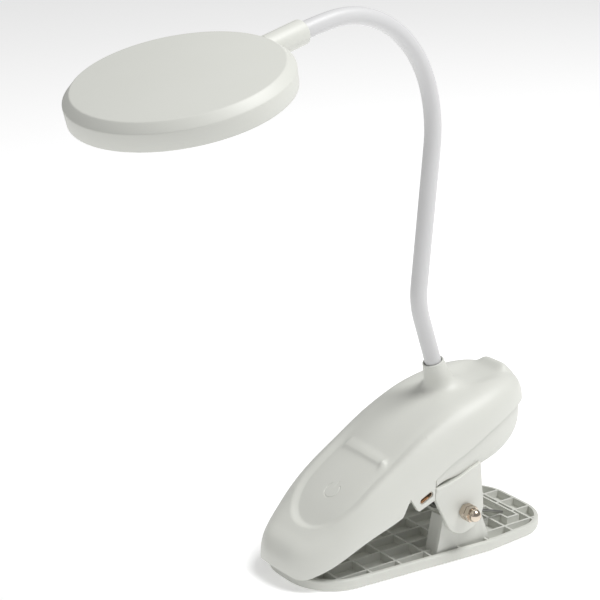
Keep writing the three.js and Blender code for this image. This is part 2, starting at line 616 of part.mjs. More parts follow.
const anchorTop = -NECK_TAIL - FIT_GAP;
const ANCHOR_LENGTH = 5;
const anchor = cut(turned([[0, anchorTop - ANCHOR_LENGTH], [5.6, anchorTop - ANCHOR_LENGTH],
  [5.6, anchorTop - 3], [3.9, anchorTop - 2.6], [3.9, anchorTop], [0, anchorTop]], 20),
turned([[0, anchorTop - 20], [NECK_CORE_DIAMETER / 2 + FIT_GAP, anchorTop - 20],
  [NECK_CORE_DIAMETER / 2 + FIT_GAP, 0], [0, 0]], 16));
add('neck_anchor', anchor, nickel, neckRoot);

// ---------------------------------------------------------------- head
const head = new THREE.Group();
const mouth = neckAt(NECK_LENGTH);
const outward = new THREE.Vector3(-Math.sin(mouth.heading), 0, Math.cos(mouth.heading));
const upward = new THREE.Vector3(Math.cos(mouth.heading), 0, Math.sin(mouth.heading));
const collarWay = outward.clone().negate();
const across = new THREE.Vector3().crossVectors(upward, collarWay);
head.quaternion.setFromRotationMatrix(new THREE.Matrix4().makeBasis(collarWay, across, upward))
  .multiply(new THREE.Quaternion().setFromAxisAngle(new THREE.Vector3(1, 0, 0), degrees(-HEAD_TWIST)));
const headReach = HEAD_RADIUS + COLLAR_LENGTH;
head.position.set(mouth.x, 0, mouth.z).addScaledVector(outward, headReach);
head.translateZ(COLLAR_DROP);
neckRoot.add(head);

const HEAD_THICKNESS = HEAD_WALL_HEIGHT + HEAD_CHAMFER_UP;
const TOP = HEAD_THICKNESS / 2;
const RIM = TOP - HEAD_CHAMFER_UP;
const HEAD_TAPER = 0.3;          // the side wall draws in by this towards the light
const HEAD_SIDES = 64;

// A round bar along the collar's axis, in the head's own frame.
const barX = (radius, x0, x1, sides) => solidOf(new THREE.CylinderGeometry(radius, radius, x1 - x0, sides)
  .rotateZ(Math.PI / 2).translate((x0 + x1) / 2, 0, -COLLAR_DROP));

function headCover() {
  const disc = turned([[0, -TOP], [HEAD_RADIUS - HEAD_TAPER, -TOP], [HEAD_RADIUS, RIM],
    [HEAD_RADIUS - HEAD_CHAMFER_IN, TOP], [0, TOP]], HEAD_SIDES);
  const room = turned([[0, -TOP - 1], [HEAD_RADIUS - HEAD_TAPER - HEAD_SKIN, -TOP - 1],
    [HEAD_RADIUS - HEAD_SKIN, RIM - 0.8], [HEAD_RADIUS - HEAD_CHAMFER_IN - 1, TOP - HEAD_SKIN], [0, TOP - HEAD_SKIN]],
  HEAD_SIDES);
  const end = HEAD_RADIUS + COLLAR_LENGTH;
  const collar = join(barX(COLLAR_DIAMETER / 2, HEAD_RADIUS - 2, end - 0.8, 24),
    barX(COLLAR_DIAMETER / 2 - 0.7, HEAD_RADIUS - 1.4, end, 24));
  return cut(join(cut(disc, room), collar), barX(NECK_DIAMETER / 2 + FIT_GAP + 0.1, HEAD_RADIUS - 8, end + 1, 20));
}
add('head_cover', headCover(), shellPlastic, head);

const DIFFUSER = 1.6;
const diffuserRadius = HEAD_RADIUS - HEAD_TAPER - HEAD_SKIN - FIT_GAP;
add('diffuser', turned([[0, -TOP + 0.2], [diffuserRadius, -TOP + 0.2], [diffuserRadius, -TOP + 0.2 + DIFFUSER],
  [0, -TOP + 0.2 + DIFFUSER]], HEAD_SIDES), opal, head);

const LEDS = 16;
const ledRing = HEAD_RADIUS * 0.62;
function ledBoard() {
  const base = turned([[0, TOP - 3.2], [HEAD_RADIUS - 8, TOP - 3.2], [HEAD_RADIUS - 8, TOP - 2], [0, TOP - 2]], 40);
  const chips = Array.from({ length: LEDS }, (_, i) => {
    const angle = 2 * Math.PI * i / LEDS;
    const chip = new THREE.BoxGeometry(2.8, 2.8, 0.8).rotateZ(angle);
    return solidOf(chip.translate(ledRing * Math.cos(angle), ledRing * Math.sin(angle), TOP - 3.5));
  });
  return join(base, ...chips);
}
add('led_board', ledBoard(), boardWhite, head);
const ferruleStart = HEAD_RADIUS + COLLAR_LENGTH - COLLAR_GRIP - FIT_GAP;
add('head_ferrule', cut(barX(NECK_DIAMETER / 2 - FIT_GAP, ferruleStart - 6, ferruleStart, 16),
  barX(NECK_CORE_DIAMETER / 2 + FIT_GAP, ferruleStart - 7, ferruleStart + 1, 12)), nickel, head);

export default lamp;
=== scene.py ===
# %% [markdown]
# # A clip-on reading lamp
# The lamp has three visible families of parts: a moulded plastic clip, a silicone sleeve over a
# bendable neck, and a flat round head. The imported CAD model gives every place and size, and each
# cell below rebuilds one visible piece with finer shape and a real finish.

import json
import math

import bmesh
import bpy
import numpy as np
from mathutils import Matrix, Vector


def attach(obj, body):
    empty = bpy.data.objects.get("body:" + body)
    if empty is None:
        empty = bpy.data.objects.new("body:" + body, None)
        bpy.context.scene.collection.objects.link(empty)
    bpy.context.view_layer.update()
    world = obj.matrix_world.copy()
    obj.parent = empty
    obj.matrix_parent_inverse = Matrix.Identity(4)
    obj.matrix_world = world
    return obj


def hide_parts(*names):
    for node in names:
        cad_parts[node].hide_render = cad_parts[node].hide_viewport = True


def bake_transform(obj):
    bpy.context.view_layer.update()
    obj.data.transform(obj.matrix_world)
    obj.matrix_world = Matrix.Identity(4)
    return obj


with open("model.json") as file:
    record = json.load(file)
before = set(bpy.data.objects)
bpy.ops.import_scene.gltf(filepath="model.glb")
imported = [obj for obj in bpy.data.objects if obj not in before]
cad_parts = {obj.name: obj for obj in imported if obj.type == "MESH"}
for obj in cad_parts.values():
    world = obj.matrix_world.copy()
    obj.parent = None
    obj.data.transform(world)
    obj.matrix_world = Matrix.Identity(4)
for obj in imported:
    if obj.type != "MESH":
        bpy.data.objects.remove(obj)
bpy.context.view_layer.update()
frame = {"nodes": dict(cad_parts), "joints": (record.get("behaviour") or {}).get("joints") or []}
MM = 0.001
JOINTS = {joint["name"]: joint for joint in frame["joints"]}

# %% [markdown]
# ## Camera, floor and light
# The lamp stands on a pale sweep and is lit by one large soft box from the right, with a weak box at
# the left and an even fill from all round. The camera looks slightly down, past the nose.

# %% Camera
VIEW_AZIMUTH = math.radians(-35.07)
VIEW_ELEVATION = math.radians(18.13)
VIEW_DISTANCE = 900 * MM
VIEW_LENS = 116.1
LOOK_AT = Vector((-48.9, 33.7, 120.0)) * MM


def add_camera():
    back = Vector((
        math.sin(VIEW_AZIMUTH) * math.cos(VIEW_ELEVATION),
        -math.cos(VIEW_AZIMUTH) * math.cos(VIEW_ELEVATION),
        math.sin(VIEW_ELEVATION),
    ))
    camera = bpy.data.objects.new("camera", bpy.data.cameras.new("camera"))
    camera.location = LOOK_AT + back * VIEW_DISTANCE
    camera.rotation_euler = back.to_track_quat("Z", "Y").to_euler()
    camera.data.lens = VIEW_LENS
    camera.data.sensor_width = 36
    camera.data.clip_start = 0.01
    camera.data.clip_end = 50
    bpy.context.scene.collection.objects.link(camera)
    bpy.context.scene.camera = camera
    return camera


camera = add_camera()
bpy.context.scene.view_settings.view_transform = "Standard"
print("camera at, mm:", [round(v / MM) for v in camera.location])

# %% [markdown]
# ## Small helpers for materials
# A finish is a small node tree. Colours are written as the sRGB hex values that a colour picker
# shows, and one function turns them to the linear values that the renderer works in. Another adds
# a node with its settings and its links in one call.


# %% Material helpers
PATCH_DETAIL = 2.0
GRAIN_DETAIL = 3.0


def linear(hex_colour):
    channels = [int(hex_colour[i:i + 2], 16) / 255 for i in (1, 3, 5)]
    decoded = [c / 12.92 if c <= 0.04045 else ((c + 0.055) / 1.055) ** 2.4 for c in channels]
    return (*decoded, 1.0)


def add_node(tree, kind, inputs=None, **settings):
    node = tree.nodes.new(kind)
    for key, value in settings.items():
        setattr(node, key, value)
    for key, value in (inputs or {}).items():
        if isinstance(value, bpy.types.NodeSocket):
            tree.links.new(value, node.inputs[key])
        else:
            node.inputs[key].default_value = value
    return node


def new_material(name):
    material = bpy.data.materials.new(name)
    material.use_nodes = True
    tree = material.node_tree
    shader = tree.nodes["Principled BSDF"]
    place = add_node(tree, "ShaderNodeTexCoord").outputs["Object"]
    return material, tree, shader, place


def per_mm(size):
    """A noise scale whose features are about `size` mm across."""
    return 1 / (size * MM)


def mottled(tree, place, size, first, second):
    """Two colours mixed softly in patches about `size` mm across."""
    noise = add_node(tree, "ShaderNodeTexNoise",
                     {"Vector": place, "Scale": per_mm(size), "Detail": PATCH_DETAIL})
    mix = add_node(tree, "ShaderNodeMix", data_type="RGBA")
    tree.links.new(noise.outputs["Fac"], mix.inputs["Factor"])
    colours = [socket for socket in mix.inputs if socket.type == "RGBA"]
    colours[0].default_value = linear(first)
    colours[1].default_value = linear(second)
    return next(socket for socket in mix.outputs if socket.type == "RGBA")


def grain_bump(tree, place, size, height, strength):
    """Fine random relief: features of `size` mm, `height` mm deep."""
    noise = add_node(tree, "ShaderNodeTexNoise",
                     {"Vector": place, "Scale": per_mm(size), "Detail": GRAIN_DETAIL})
    bump = add_node(tree, "ShaderNodeBump", {"Height": noise.outputs["Fac"], "Strength": strength,
                                             "Distance": height * MM})
    return bump.outputs["Normal"], noise.outputs["Fac"]


def vary_roughness(tree, shader, fine, low, high):
    """Lets the grain shift the roughness a little between two values."""
    sheen = add_node(tree, "ShaderNodeMapRange", {"Value": fine, "To Min": low, "To Max": high})
    tree.links.new(sheen.outputs["Result"], shader.inputs["Roughness"])


# %% [markdown]
# ## Moulded plastics
# The casing is ABS from a finely spark-eroded mould: a warm grey-white with a soft, wide highlight
# and a faint grain. The grain on a real casing is about 0.1 mm, too fine to see at this distance,
# so it is drawn at about half a millimetre. The clip board is the same plastic, a shade darker.


# %% Plastics and silicone
def moulded_plastic(name, light, dark, roughness, grain=0.55, grain_height=0.02):
    material, tree, shader, place = new_material(name)
    tree.links.new(mottled(tree, place, 45, light, dark), shader.inputs["Base Color"])
    normal, fine = grain_bump(tree, place, grain, grain_height, 0.35)
    tree.links.new(normal, shader.inputs["Normal"])
    vary_roughness(tree, shader, fine, roughness - 0.05, roughness + 0.05)
    shader.inputs["IOR"].default_value = 1.53
    shader.inputs["Specular IOR Level"].default_value = 0.45
    return material


casing_abs = moulded_plastic("casing_abs_spark_eroded", "#D6D7D1", "#D2D3CC", 0.46)
board_abs = moulded_plastic("clip_board_abs", "#D0D1CB", "#CBCCC5", 0.5)
bush_acetal = moulded_plastic("bush_acetal", "#DDDDD8", "#D5D5D0", 0.38)
sleeve_silicone = moulded_plastic("neck_sleeve_silicone", "#D3D3D3", "#CDCDCE", 0.42, grain=0.8)
cell_film = moulded_plastic("battery_shrink_film", "#6FA0B5", "#5F90A6", 0.3)
opal_acrylic = moulded_plastic("opal_acrylic_diffuser", "#F6F5F0", "#F1F0EA", 0.3, grain_height=0.008)
opal_shader = opal_acrylic.node_tree.nodes["Principled BSDF"]
opal_shader.inputs["Subsurface Weight"].default_value = 0.25
opal_shader.inputs["Subsurface Radius"].default_value = (0.003, 0.003, 0.003)

# %% [markdown]
# ## Metals
# The nuts and the bolt are nickel plated: bright, slightly warm, with faint turning marks. The
# spring, the neck's core and the small screws are plain drawn steel, duller and greyer.


# %% Metals
def plated_metal(name, light, dark, roughness, mark_size):
    material, tree, shader, place = new_material(name)
    tree.links.new(mottled(tree, place, 6, light, dark), shader.inputs["Base Color"])
    normal, fine = grain_bump(tree, place, mark_size, 0.01, 0.25)
    tree.links.new(normal, shader.inputs["Normal"])
    vary_roughness(tree, shader, fine, roughness - 0.04, roughness + 0.06)
    shader.inputs["Metallic"].default_value = 1.0
    return material


nickel_plate = plated_metal("nickel_plate", "#D2C6B8", "#C3B6A7", 0.16, 0.6)
drawn_steel = plated_metal("drawn_steel_wire", "#A3A39F", "#8E8E8A", 0.34, 0.4)
solder_green = moulded_plastic("solder_mask_green", "#2E6A49", "#275C40", 0.4, grain=0.4)
solder_white = moulded_plastic("solder_mask_white", "#EFEFEB", "#E6E6E1", 0.4, grain=0.4)

# %% Floor, light and fill
FLOOR_SIZE = 12.0
FLOOR_DROP = 0.0002        # just under the lamp, so that the two faces never share a plane
FLOOR_GLOW = 0.3
WORLD_STRENGTH = 0.32


def add_floor():
    bpy.ops.object.select_all(action="DESELECT")
    bpy.ops.mesh.primitive_plane_add(size=FLOOR_SIZE, location=(0, 0, -FLOOR_DROP))
    floor = bpy.context.object
    floor.name = "floor"
    material, tree, shader, place = new_material("pale_paper_sweep")
    tree.links.new(mottled(tree, place, 400, "#FFFFFF", "#FCFCFC"), shader.inputs["Base Color"])
    shader.inputs["Roughness"].default_value = 0.9
    shader.inputs["Specular IOR Level"].default_value = 0.1
    shader.inputs["Emission Color"].default_value = linear("#FFFFFF")
    shader.inputs["Emission Strength"].default_value = FLOOR_GLOW
    floor.data.materials.append(material)


def add_soft_box(name, direction, distance, size, power):
    light = bpy.data.objects.new(name, bpy.data.lights.new(name, "AREA"))
    light.data.shape = "SQUARE"
    light.data.size = size
    light.data.energy = power
    direction = Vector(direction).normalized()
    light.location = LOOK_AT + direction * distance
    light.rotation_euler = direction.to_track_quat("Z", "Y").to_euler()
    bpy.context.scene.collection.objects.link(light)


add_floor()
add_soft_box("key_soft_box", (0.35, -0.34, 0.95), 1.6, 0.8, 23)
add_soft_box("left_fill_box", (-0.9, -0.2, 0.5), 1.8, 1.2, 1.5)
world = bpy.data.worlds.new("even_fill")
world.use_nodes = True
world.node_tree.nodes["Background"].inputs["Color"].default_value = linear("#FFFFFF")
world.node_tree.nodes["Background"].inputs["Strength"].default_value = WORLD_STRENGTH
bpy.context.scene.world = world

# %% [markdown]
# ## Small helpers for modelling
# Every piece is made at its final place, with its object at the origin. `finish_piece` gives it a
# finish, parents it to the empty of the body it rides on, and hides the CAD nodes that it replaces.


# %% Modelling helpers
def activate(obj):
    bpy.ops.object.select_all(action="DESELECT")
    obj.hide_set(False)
    obj.select_set(True)
    bpy.context.view_layer.objects.active = obj


def apply_modifiers(obj):
    activate(obj)
    for modifier in list(obj.modifiers):
        bpy.ops.object.modifier_apply(modifier=modifier.name)


def mesh_object(name, points, edges=(), faces=()):
    mesh = bpy.data.meshes.new(name)
    mesh.from_pydata([tuple(p) for p in points], list(edges), list(faces))
    obj = bpy.data.objects.new(name, mesh)
    bpy.context.scene.collection.objects.link(obj)
    return obj


def tidy_mesh(obj, distance=1e-6):
    activate(obj)
    bpy.ops.object.mode_set(mode="EDIT")
    bpy.ops.mesh.select_all(action="SELECT")
    bpy.ops.mesh.remove_doubles(threshold=distance)
    bpy.ops.mesh.normals_make_consistent(inside=False)
    bpy.ops.object.mode_set(mode="OBJECT")


def combine(obj, other, operation):
    """A boolean with another solid, which is used up."""
    modifier = obj.modifiers.new(operation.lower(), "BOOLEAN")
    modifier.operation = operation
    modifier.solver = "EXACT"
    modifier.object = other
    apply_modifiers(obj)
    bpy.data.objects.remove(other, do_unlink=True)
    return obj


def soften(obj, width, segments=2, angle=35):
    """A small moulded radius on every edge sharper than `angle` degrees."""
    modifier = obj.modifiers.new("radius", "BEVEL")
    modifier.width = width * MM
    modifier.segments = segments
    modifier.limit_method = "ANGLE"
    modifier.angle_limit = math.radians(angle)
    modifier.use_clamp_overlap = True
    modifier.harden_normals = False
    apply_modifiers(obj)
    return obj


def smooth(obj, angle=35):
    activate(obj)
    bpy.ops.object.shade_smooth_by_angle(angle=math.radians(angle))


def finish_piece(obj, body, material, nodes=(), angle=35):
    smooth(obj, angle)
    obj.data.materials.clear()
    obj.data.materials.append(material)
    if body:
        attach(obj, body)
    if nodes:
        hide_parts(*nodes)
    print(f"{obj.name}: {len(obj.data.polygons)} faces")


def arc(x, z, radius, start, end, steps):
    angles = np.radians(np.linspace(start, end, steps + 1))
    return [(x + radius * math.cos(a), z + radius * math.sin(a)) for a in angles]


def slab(name, outline, y0, y1):
    """A plate cut to an outline of (x, z) points in mm, from y0 to y1, made by extruding one face."""
    corners = [(x * MM, y0 * MM, z * MM) for x, z in outline]
    obj = mesh_object(name, corners, faces=[range(len(corners))])
    activate(obj)
    bpy.ops.object.mode_set(mode="EDIT")
    bpy.ops.mesh.select_all(action="SELECT")
    bpy.ops.mesh.extrude_region_move(TRANSFORM_OT_translate={"value": (0, (y1 - y0) * MM, 0)})
    bpy.ops.mesh.select_all(action="SELECT")
    bpy.ops.mesh.normals_make_consistent(inside=False)
    bpy.ops.object.mode_set(mode="OBJECT")
    return obj


def block(name, x, y, z):
    """A box between two values on each axis, in mm."""
    centre = [(low + high) / 2 * MM for low, high in (x, y, z)]
    bpy.ops.object.select_all(action="DESELECT")
    bpy.ops.mesh.primitive_cube_add(size=1, location=centre)
    obj = bpy.context.object
    obj.name = name
    obj.scale = [(high - low) * MM for low, high in (x, y, z)]
    bpy.ops.object.transform_apply(location=True, rotation=True, scale=True)
    return obj


def turned(name, profile, place, steps=72):
    """A profile of (radius, height) points in mm, spun about Z and put in place."""
    points = [(r * MM, 0, h * MM) for r, h in profile]
    obj = mesh_object(name, points, edges=[(i, i + 1) for i in range(len(points) - 1)])
    activate(obj)
    bpy.ops.object.mode_set(mode="EDIT")
    bpy.ops.mesh.select_all(action="SELECT")
    bpy.ops.mesh.spin(steps=steps, angle=2 * math.pi, center=(0, 0, 0), axis=(0, 0, 1))
    bpy.ops.mesh.select_all(action="SELECT")
    bpy.ops.mesh.remove_doubles(threshold=2e-6)
    bpy.ops.mesh.normals_make_consistent(inside=False)
    bpy.ops.object.mode_set(mode="OBJECT")
    obj.data.transform(place)
    return obj


def place_at(position, z_axis):
    """A matrix whose Z is z_axis, for pieces modelled upright at the origin. Position in metres."""
    z = Vector(z_axis).normalized()
    y = z.cross(Vector((1, 0, 0))).normalized()
    x = y.cross(z)
    return Matrix.Translation(Vector(position)) @ Matrix((x, y, z)).transposed().to_4x4()


def tube(name, points, radius, resolution):
    """A round tube along a list of points, made from a curve with a bevel."""
    curve = bpy.data.curves.new(name, "CURVE")
    curve.dimensions = "3D"
    curve.bevel_depth = radius
    curve.bevel_resolution = resolution
    curve.use_fill_caps = True
    spline = curve.splines.new("POLY")
    spline.points.add(len(points) - 1)
    for point, place in zip(spline.points, points):
        point.co = (*place, 1)
    obj = bpy.data.objects.new(name, curve)
    bpy.context.scene.collection.objects.link(obj)
    activate(obj)
    bpy.ops.object.convert(target="MESH")
    obj = bpy.context.object
    tidy_mesh(obj)
    return obj


# %% [markdown]
# ## The casing's shape
# Seen from above, both shells share one outline: blunt at the nose, fuller towards the pivot. Seen
# from the side, the crest, the rim and the belly are three curves through a few heights. The rim is
# the level that the shoulders turn down to, and the seam is the line where the two shells meet
# behind the tab. The crest, the seam and the belly pass through the CAD model's own heights.


# %% Outline and height curves, in mm
NOSE = -88.0
REAR = 53.0
WIDEST = -10.0
HALF_WIDTH = 31.0
PIVOT_Z = JOINTS["clip_hinge"]["pos_m"][2] / MM
WALL = 2.0
CURVE_STEPS = 24
TUCK_FROM = -17.2  # the tab's back edge, behind which the two shells meet edge to edge


def height_curve(points):
    """A height along X that passes smoothly through a few points."""
    p = np.array(points, float)
    run = np.vstack([2 * p[0] - p[1], p, 2 * p[-1] - p[-2]])
    samples = []
    for a, b, c, d in zip(run, run[1:], run[2:], run[3:]):
        gaps = [np.linalg.norm(v) ** 0.5 for v in (b - a, c - b, d - c)]
        t0, t1, t2, t3 = np.cumsum([0.0, *gaps])
        for t in np.linspace(t1, t2, CURVE_STEPS, endpoint=False):
            ab = a + (b - a) * (t - t0) / (t1 - t0)
            bc = b + (c - b) * (t - t1) / (t2 - t1)
            cd = c + (d - c) * (t - t2) / (t3 - t2)
            abc = ab + (bc - ab) * (t - t0) / (t2 - t0)
            bcd = bc + (cd - bc) * (t - t1) / (t3 - t1)
            samples.append(abc + (bcd - abc) * (t - t1) / (t2 - t1))
    samples = np.array([*samples, p[-1]])
    xs = np.maximum.accumulate(samples[:, 0])
    return lambda x: np.interp(x, xs, samples[:, 1])


crest = height_curve([
    (NOSE, 9), (NOSE + 1, 14.5), (NOSE + 4, 19.6), (-77, 23.9), (-70, 28.8), (-61, 36.8), (-50, 45.4),
    (-35.5, 54.8), (-18, 65.5), (0, 73.2), (16.5, 77.3), (27, 79), (38, 79.2), (45, 77.4), (50, 73),
    (REAR, 66.5),
])
rim = height_curve([
    (NOSE, 8), (NOSE + 4, 6), (-75, 10.5), (-56, 22), (-36, 30.3), (-14, 42.5), (9.6, 55), (28, 60),
    (45, 62), (REAR, 63),
])
belly = height_curve([
    (NOSE, 9.5), (NOSE + 4, 7.4), (-75, 11.8), (-56, 23.2), (-36, 31.6), (-24, 36.8), (-12, 38.6),
    (0, 38.6), (15, 40.4), (28, 43), (40, 48), (47, 53.5), (REAR, 61),
])


def half_width(x):
    towards_nose = x < WIDEST
    reach = np.where(towards_nose, WIDEST - NOSE, REAR - WIDEST)
    p = np.where(towards_nose, 3.6, 2.8)
    q = np.where(towards_nose, 2.6, 2.1)
    return HALF_WIDTH * np.clip(1 - (np.abs(x - WIDEST) / reach) ** p, 0, 1) ** (1 / q)


def ease(t):
    t = np.clip(t, 0, 1)
    return t * t * (3 - 2 * t)


seam = height_curve([
    (-36, 30.3), (-27, 37.2), (-17.8, 43.8), (-10.5, 48.4), (6.2, 55.8), (15.5, 60), (28.4, 64.2),
    (37, 66), (45, 66.2), (REAR, 65.2),
])


def tuck(x):
    """How far the bottom shell stands in from the outline: more in front, inside the skirt."""
    return 2.3 - 1.3 * ease((x - TUCK_FROM) / 0.8) + 0.7 * ease((x - 18) / 25)


def inward(side, distance):
    """One side of the outline moved in square to itself."""
    x, y = side
    slope_x, slope_y = np.gradient(x), np.gradient(y)
    length = np.hypot(slope_x, slope_y)
    x, y = x + distance * slope_y / length, y - distance * slope_x / length
    x, y = x[y > 0], y[y > 0]
    y[0] = y[-1] = 0
    return np.maximum.accumulate(x), y


PLAN_X = (NOSE + REAR) / 2 - (REAR - NOSE) / 2 * np.cos(np.linspace(0, math.pi, 6000))
SHELL_SIDE = (PLAN_X, half_width(PLAN_X))
TUB_SIDE = inward(SHELL_SIDE, tuck(PLAN_X))


def belly_height(x, y):
    share = np.clip(np.abs(y) / np.maximum(np.interp(x, *TUB_SIDE), 1e-6), 0, 1)
    spring = np.maximum(rim(x), belly(x) + 1.2)
    square = 3 + 1.2 * ease((x + 14) / 14)
    return spring - (spring - belly(x)) * (1 - share ** square) ** (1 / square)


# %% [markdown]
# ## Features pressed into the top
# The touch panel is a shallow round-nosed recess with a sloped border. A low step runs across it
# behind the touch zone and turns up at one end. Behind the neck is a scoop for the thumb, closed by
# a raised lip. All are written as small rises and falls of the surface, in mm.

# %% Rises and falls of the top surface
PANEL_X, PANEL_Y = -53.0, -1.8  # centre of the recess's round front
PANEL_INNER = 17.6
PANEL_OUTER = 21.6
PANEL_DEPTH = 2.4
STEP_X, STEP_Y = -37.8, -1.0
STEP_HALF_WIDTH = 15.0
STEP_HEIGHT = 1.0
LIP_X, LIP_HALF_WIDTH, LIP_HEIGHT = 42.5, 9.5, 3.5
SCOOP_X, SCOOP_HALF_WIDTH, SCOOP_DEPTH = 28.0, 11.5, 2.6


def panel_fall(x, y):
    """The recess. Its border is crisp round the front, and fades sooner on the +Y side."""
    from_centre = np.hypot(np.minimum(x - PANEL_X, 0), y - PANEL_Y)
    border = np.clip((PANEL_OUTER - from_centre) / (PANEL_OUTER - PANEL_INNER), 0, 1)
    border = 0.75 * border + 0.25 * ease(border)
    far_side = 1 - ease((x + 44) / 22)
    near_side = 1 - 0.6 * ease((x + 36) / 30)
    side = ease((y - PANEL_Y + 12) / 24)
    return PANEL_DEPTH * border * (far_side * side + near_side * (1 - side)) * (1 - ease((x + 16) / 18))


def step_rise(x, y):
    along = ease((x - STEP_X + 1.0) / 1.1) * (1 - ease((x - STEP_X - 0.6) / 5.0))
    across = ease((STEP_HALF_WIDTH - np.abs(y - STEP_Y)) / 1.0)
    fin_y = STEP_Y - STEP_HALF_WIDTH
    fin = 1.5 * np.exp(-((y - fin_y) / 1.2) ** 2) * np.exp(-((x - STEP_X - 0.4) / 1.9) ** 2)
    return STEP_HEIGHT * along * across + fin


def thumb_rest(x, y):
    lip = LIP_HEIGHT * np.exp(-((x - LIP_X) / 3.8) ** 2) * np.exp(-(y / LIP_HALF_WIDTH) ** 6)
    scoop = SCOOP_DEPTH * np.exp(-((x - SCOOP_X) / 9) ** 2) * np.exp(-(y / SCOOP_HALF_WIDTH) ** 4)
    return lip - scoop


def top_height(x, y):
    share = np.clip(np.abs(y) / np.maximum(half_width(x), 1e-6), 0, 1)
    lift = (1 - share ** 5) ** (1 / 2.2)
    return rim(x) + (crest(x) - rim(x) + thumb_rest(x, y) + step_rise(x, y) - panel_fall(x, y)) * lift


# %% [markdown]
# ## A skin over the outline
# A grid over a rounded form leaves ragged ends. Here the skin is made of spokes, as a leaf's veins
# run from its midrib to its edge: each spoke starts on a straight spine and ends at the outline, and
# its points are spaced evenly along the real surface, so that steep shoulders get as many as the flat
# top. The spokes close in fans round the nose and the handle end.


# %% Skin helper
SPINE = (-62.0, 30.0)


def outline_points(side, spacing, finer=()):
    """Points round a plan outline, given its +Y side, with extra ones between each pair in `finer`."""
    x, y = side
    run = np.concatenate([[0], np.cumsum(np.hypot(np.diff(x), np.diff(y)))])
    even = np.linspace(0, run[-1], int(run[-1] / spacing))
    for start, end, step in finer:
        a, b = np.interp([start, end], x, run)
        even = np.concatenate([even[(even < a) | (even > b)], np.arange(a, b, step)])
    even = np.unique(even)
    half = np.stack([np.interp(even, run, x), np.interp(even, run, y)], 1)
    return np.vstack([half * [1, -1], half[-2:0:-1]])


def skin(name, edge, height, rings, edge_z, falling):
    """Spokes from the spine to `edge`, each ending at the height `edge_z(x, y)`.

    A falling skin is cut off where it drops below that height; a rising one is drawn straight up to it.
    """
    points, faces = [], []
    u = np.sin(np.linspace(0, math.pi / 2, 700))
    for bx, by in edge:
        sx = min(max(bx, SPINE[0]), SPINE[1])
        x = sx + (bx - sx) * u
        y = by * u
        z = height(x, y)
        end = edge_z(bx, by)
        kept = np.flatnonzero(z > end) if falling else np.arange(len(u))
        last = max(kept[-1], 1) if len(kept) else 1
        x = np.append(x[:last + 1], x[last])
        y = np.append(y[:last + 1], y[last])
        z = np.append(z[:last + 1], end)
        path = np.stack([x, y, z], 1)
        run = np.concatenate([[0], np.cumsum(np.linalg.norm(np.diff(path, axis=0), axis=1))])
        where = np.linspace(0, run[-1], rings + 1)
        points += [[np.interp(w, run, path[:, k]) * MM for k in range(3)] for w in where]
    count = len(edge)
    for i in range(count):
        a, b = i * (rings + 1), ((i + 1) % count) * (rings + 1)
        faces += [(a + j, b + j, b + j + 1, a + j + 1) for j in range(rings)]
    obj = mesh_object(name, points, faces=faces)
    tidy_mesh(obj, 4e-6)
    return obj


# %% [markdown]
# ## Top shell
# One moulding: the skirt, the tab that holds the charging socket, the notch in front of the tab, and
# the boss that the neck stands in. The skin is made first, with a round hole where the boss goes. It
# is given its wall with Solidify, and the boss then grows out of the hole, ring by ring, on a curve
# that leaves the surface smoothly and ends upright.

# %% Top shell: skirt edge
NOTCH_FOOT_X, NOTCH_TIP, TAB_CORNER, TAB_END = -36.4, (-32.1, 38.0), (-27.5, 30.8), (-18.4, 34.1)
TAB_BACK_X = -17.8


def skirt_edge(x, y):
    """The lower edge of the skirt. The tab and its notch are on the -Y side only."""
    if x < NOTCH_FOOT_X:
        return float(rim(x))
    if y > 0 or x > TAB_BACK_X:
        return float(seam(x))
    corners = [(NOTCH_FOOT_X, float(rim(NOTCH_FOOT_X))), NOTCH_TIP, TAB_CORNER, TAB_END,
               (TAB_END[0] + 0.15, 34.4), (TAB_BACK_X, float(seam(TAB_BACK_X)))]
    return float(np.interp(x, *np.transpose(corners)))


# %% Top shell: boss
BOSS_LEAN = math.radians(18.2)
BOSS_RISE = 17.0  # from the foot's centre up to the rim
BOSS_AXIS = Vector((-math.sin(BOSS_LEAN), 0, math.cos(BOSS_LEAN)))
NECK_FIRST_JOINT = 15.0
BOSS_RIM = Vector(JOINTS["neck_bend_1"]["pos_m"]) / MM - BOSS_AXIS * NECK_FIRST_JOINT
BOSS_ACROSS = Vector((math.cos(BOSS_LEAN), 0, math.sin(BOSS_LEAN)))
BOSS_FOOT_X = BOSS_RIM.x + BOSS_RISE * math.tan(BOSS_LEAN)
BOSS_FOOT_RADIUS = 15.5
BOSS_BORE = 4.4
BOSS_BORE_DEPTH = 15.0
# Radius, and height above the rim, down from the foot's curve to the bore.
BOSS_PROFILE = (
    (5.95, -5.2), (5.5, -2.4), (5.25, -0.8), (5.18, -0.35), (5.05, -0.1), (4.85, 0), (4.65, -0.02),
    (4.48, -0.15), (BOSS_BORE, -0.4), (BOSS_BORE, -4), (BOSS_BORE, -9), (BOSS_BORE, -BOSS_BORE_DEPTH),
)


def boss_point(angle, radius, height):
    around = BOSS_ACROSS * math.cos(angle) + Vector((0, 1, 0)) * math.sin(angle)
    return BOSS_RIM + BOSS_AXIS * height + around * radius


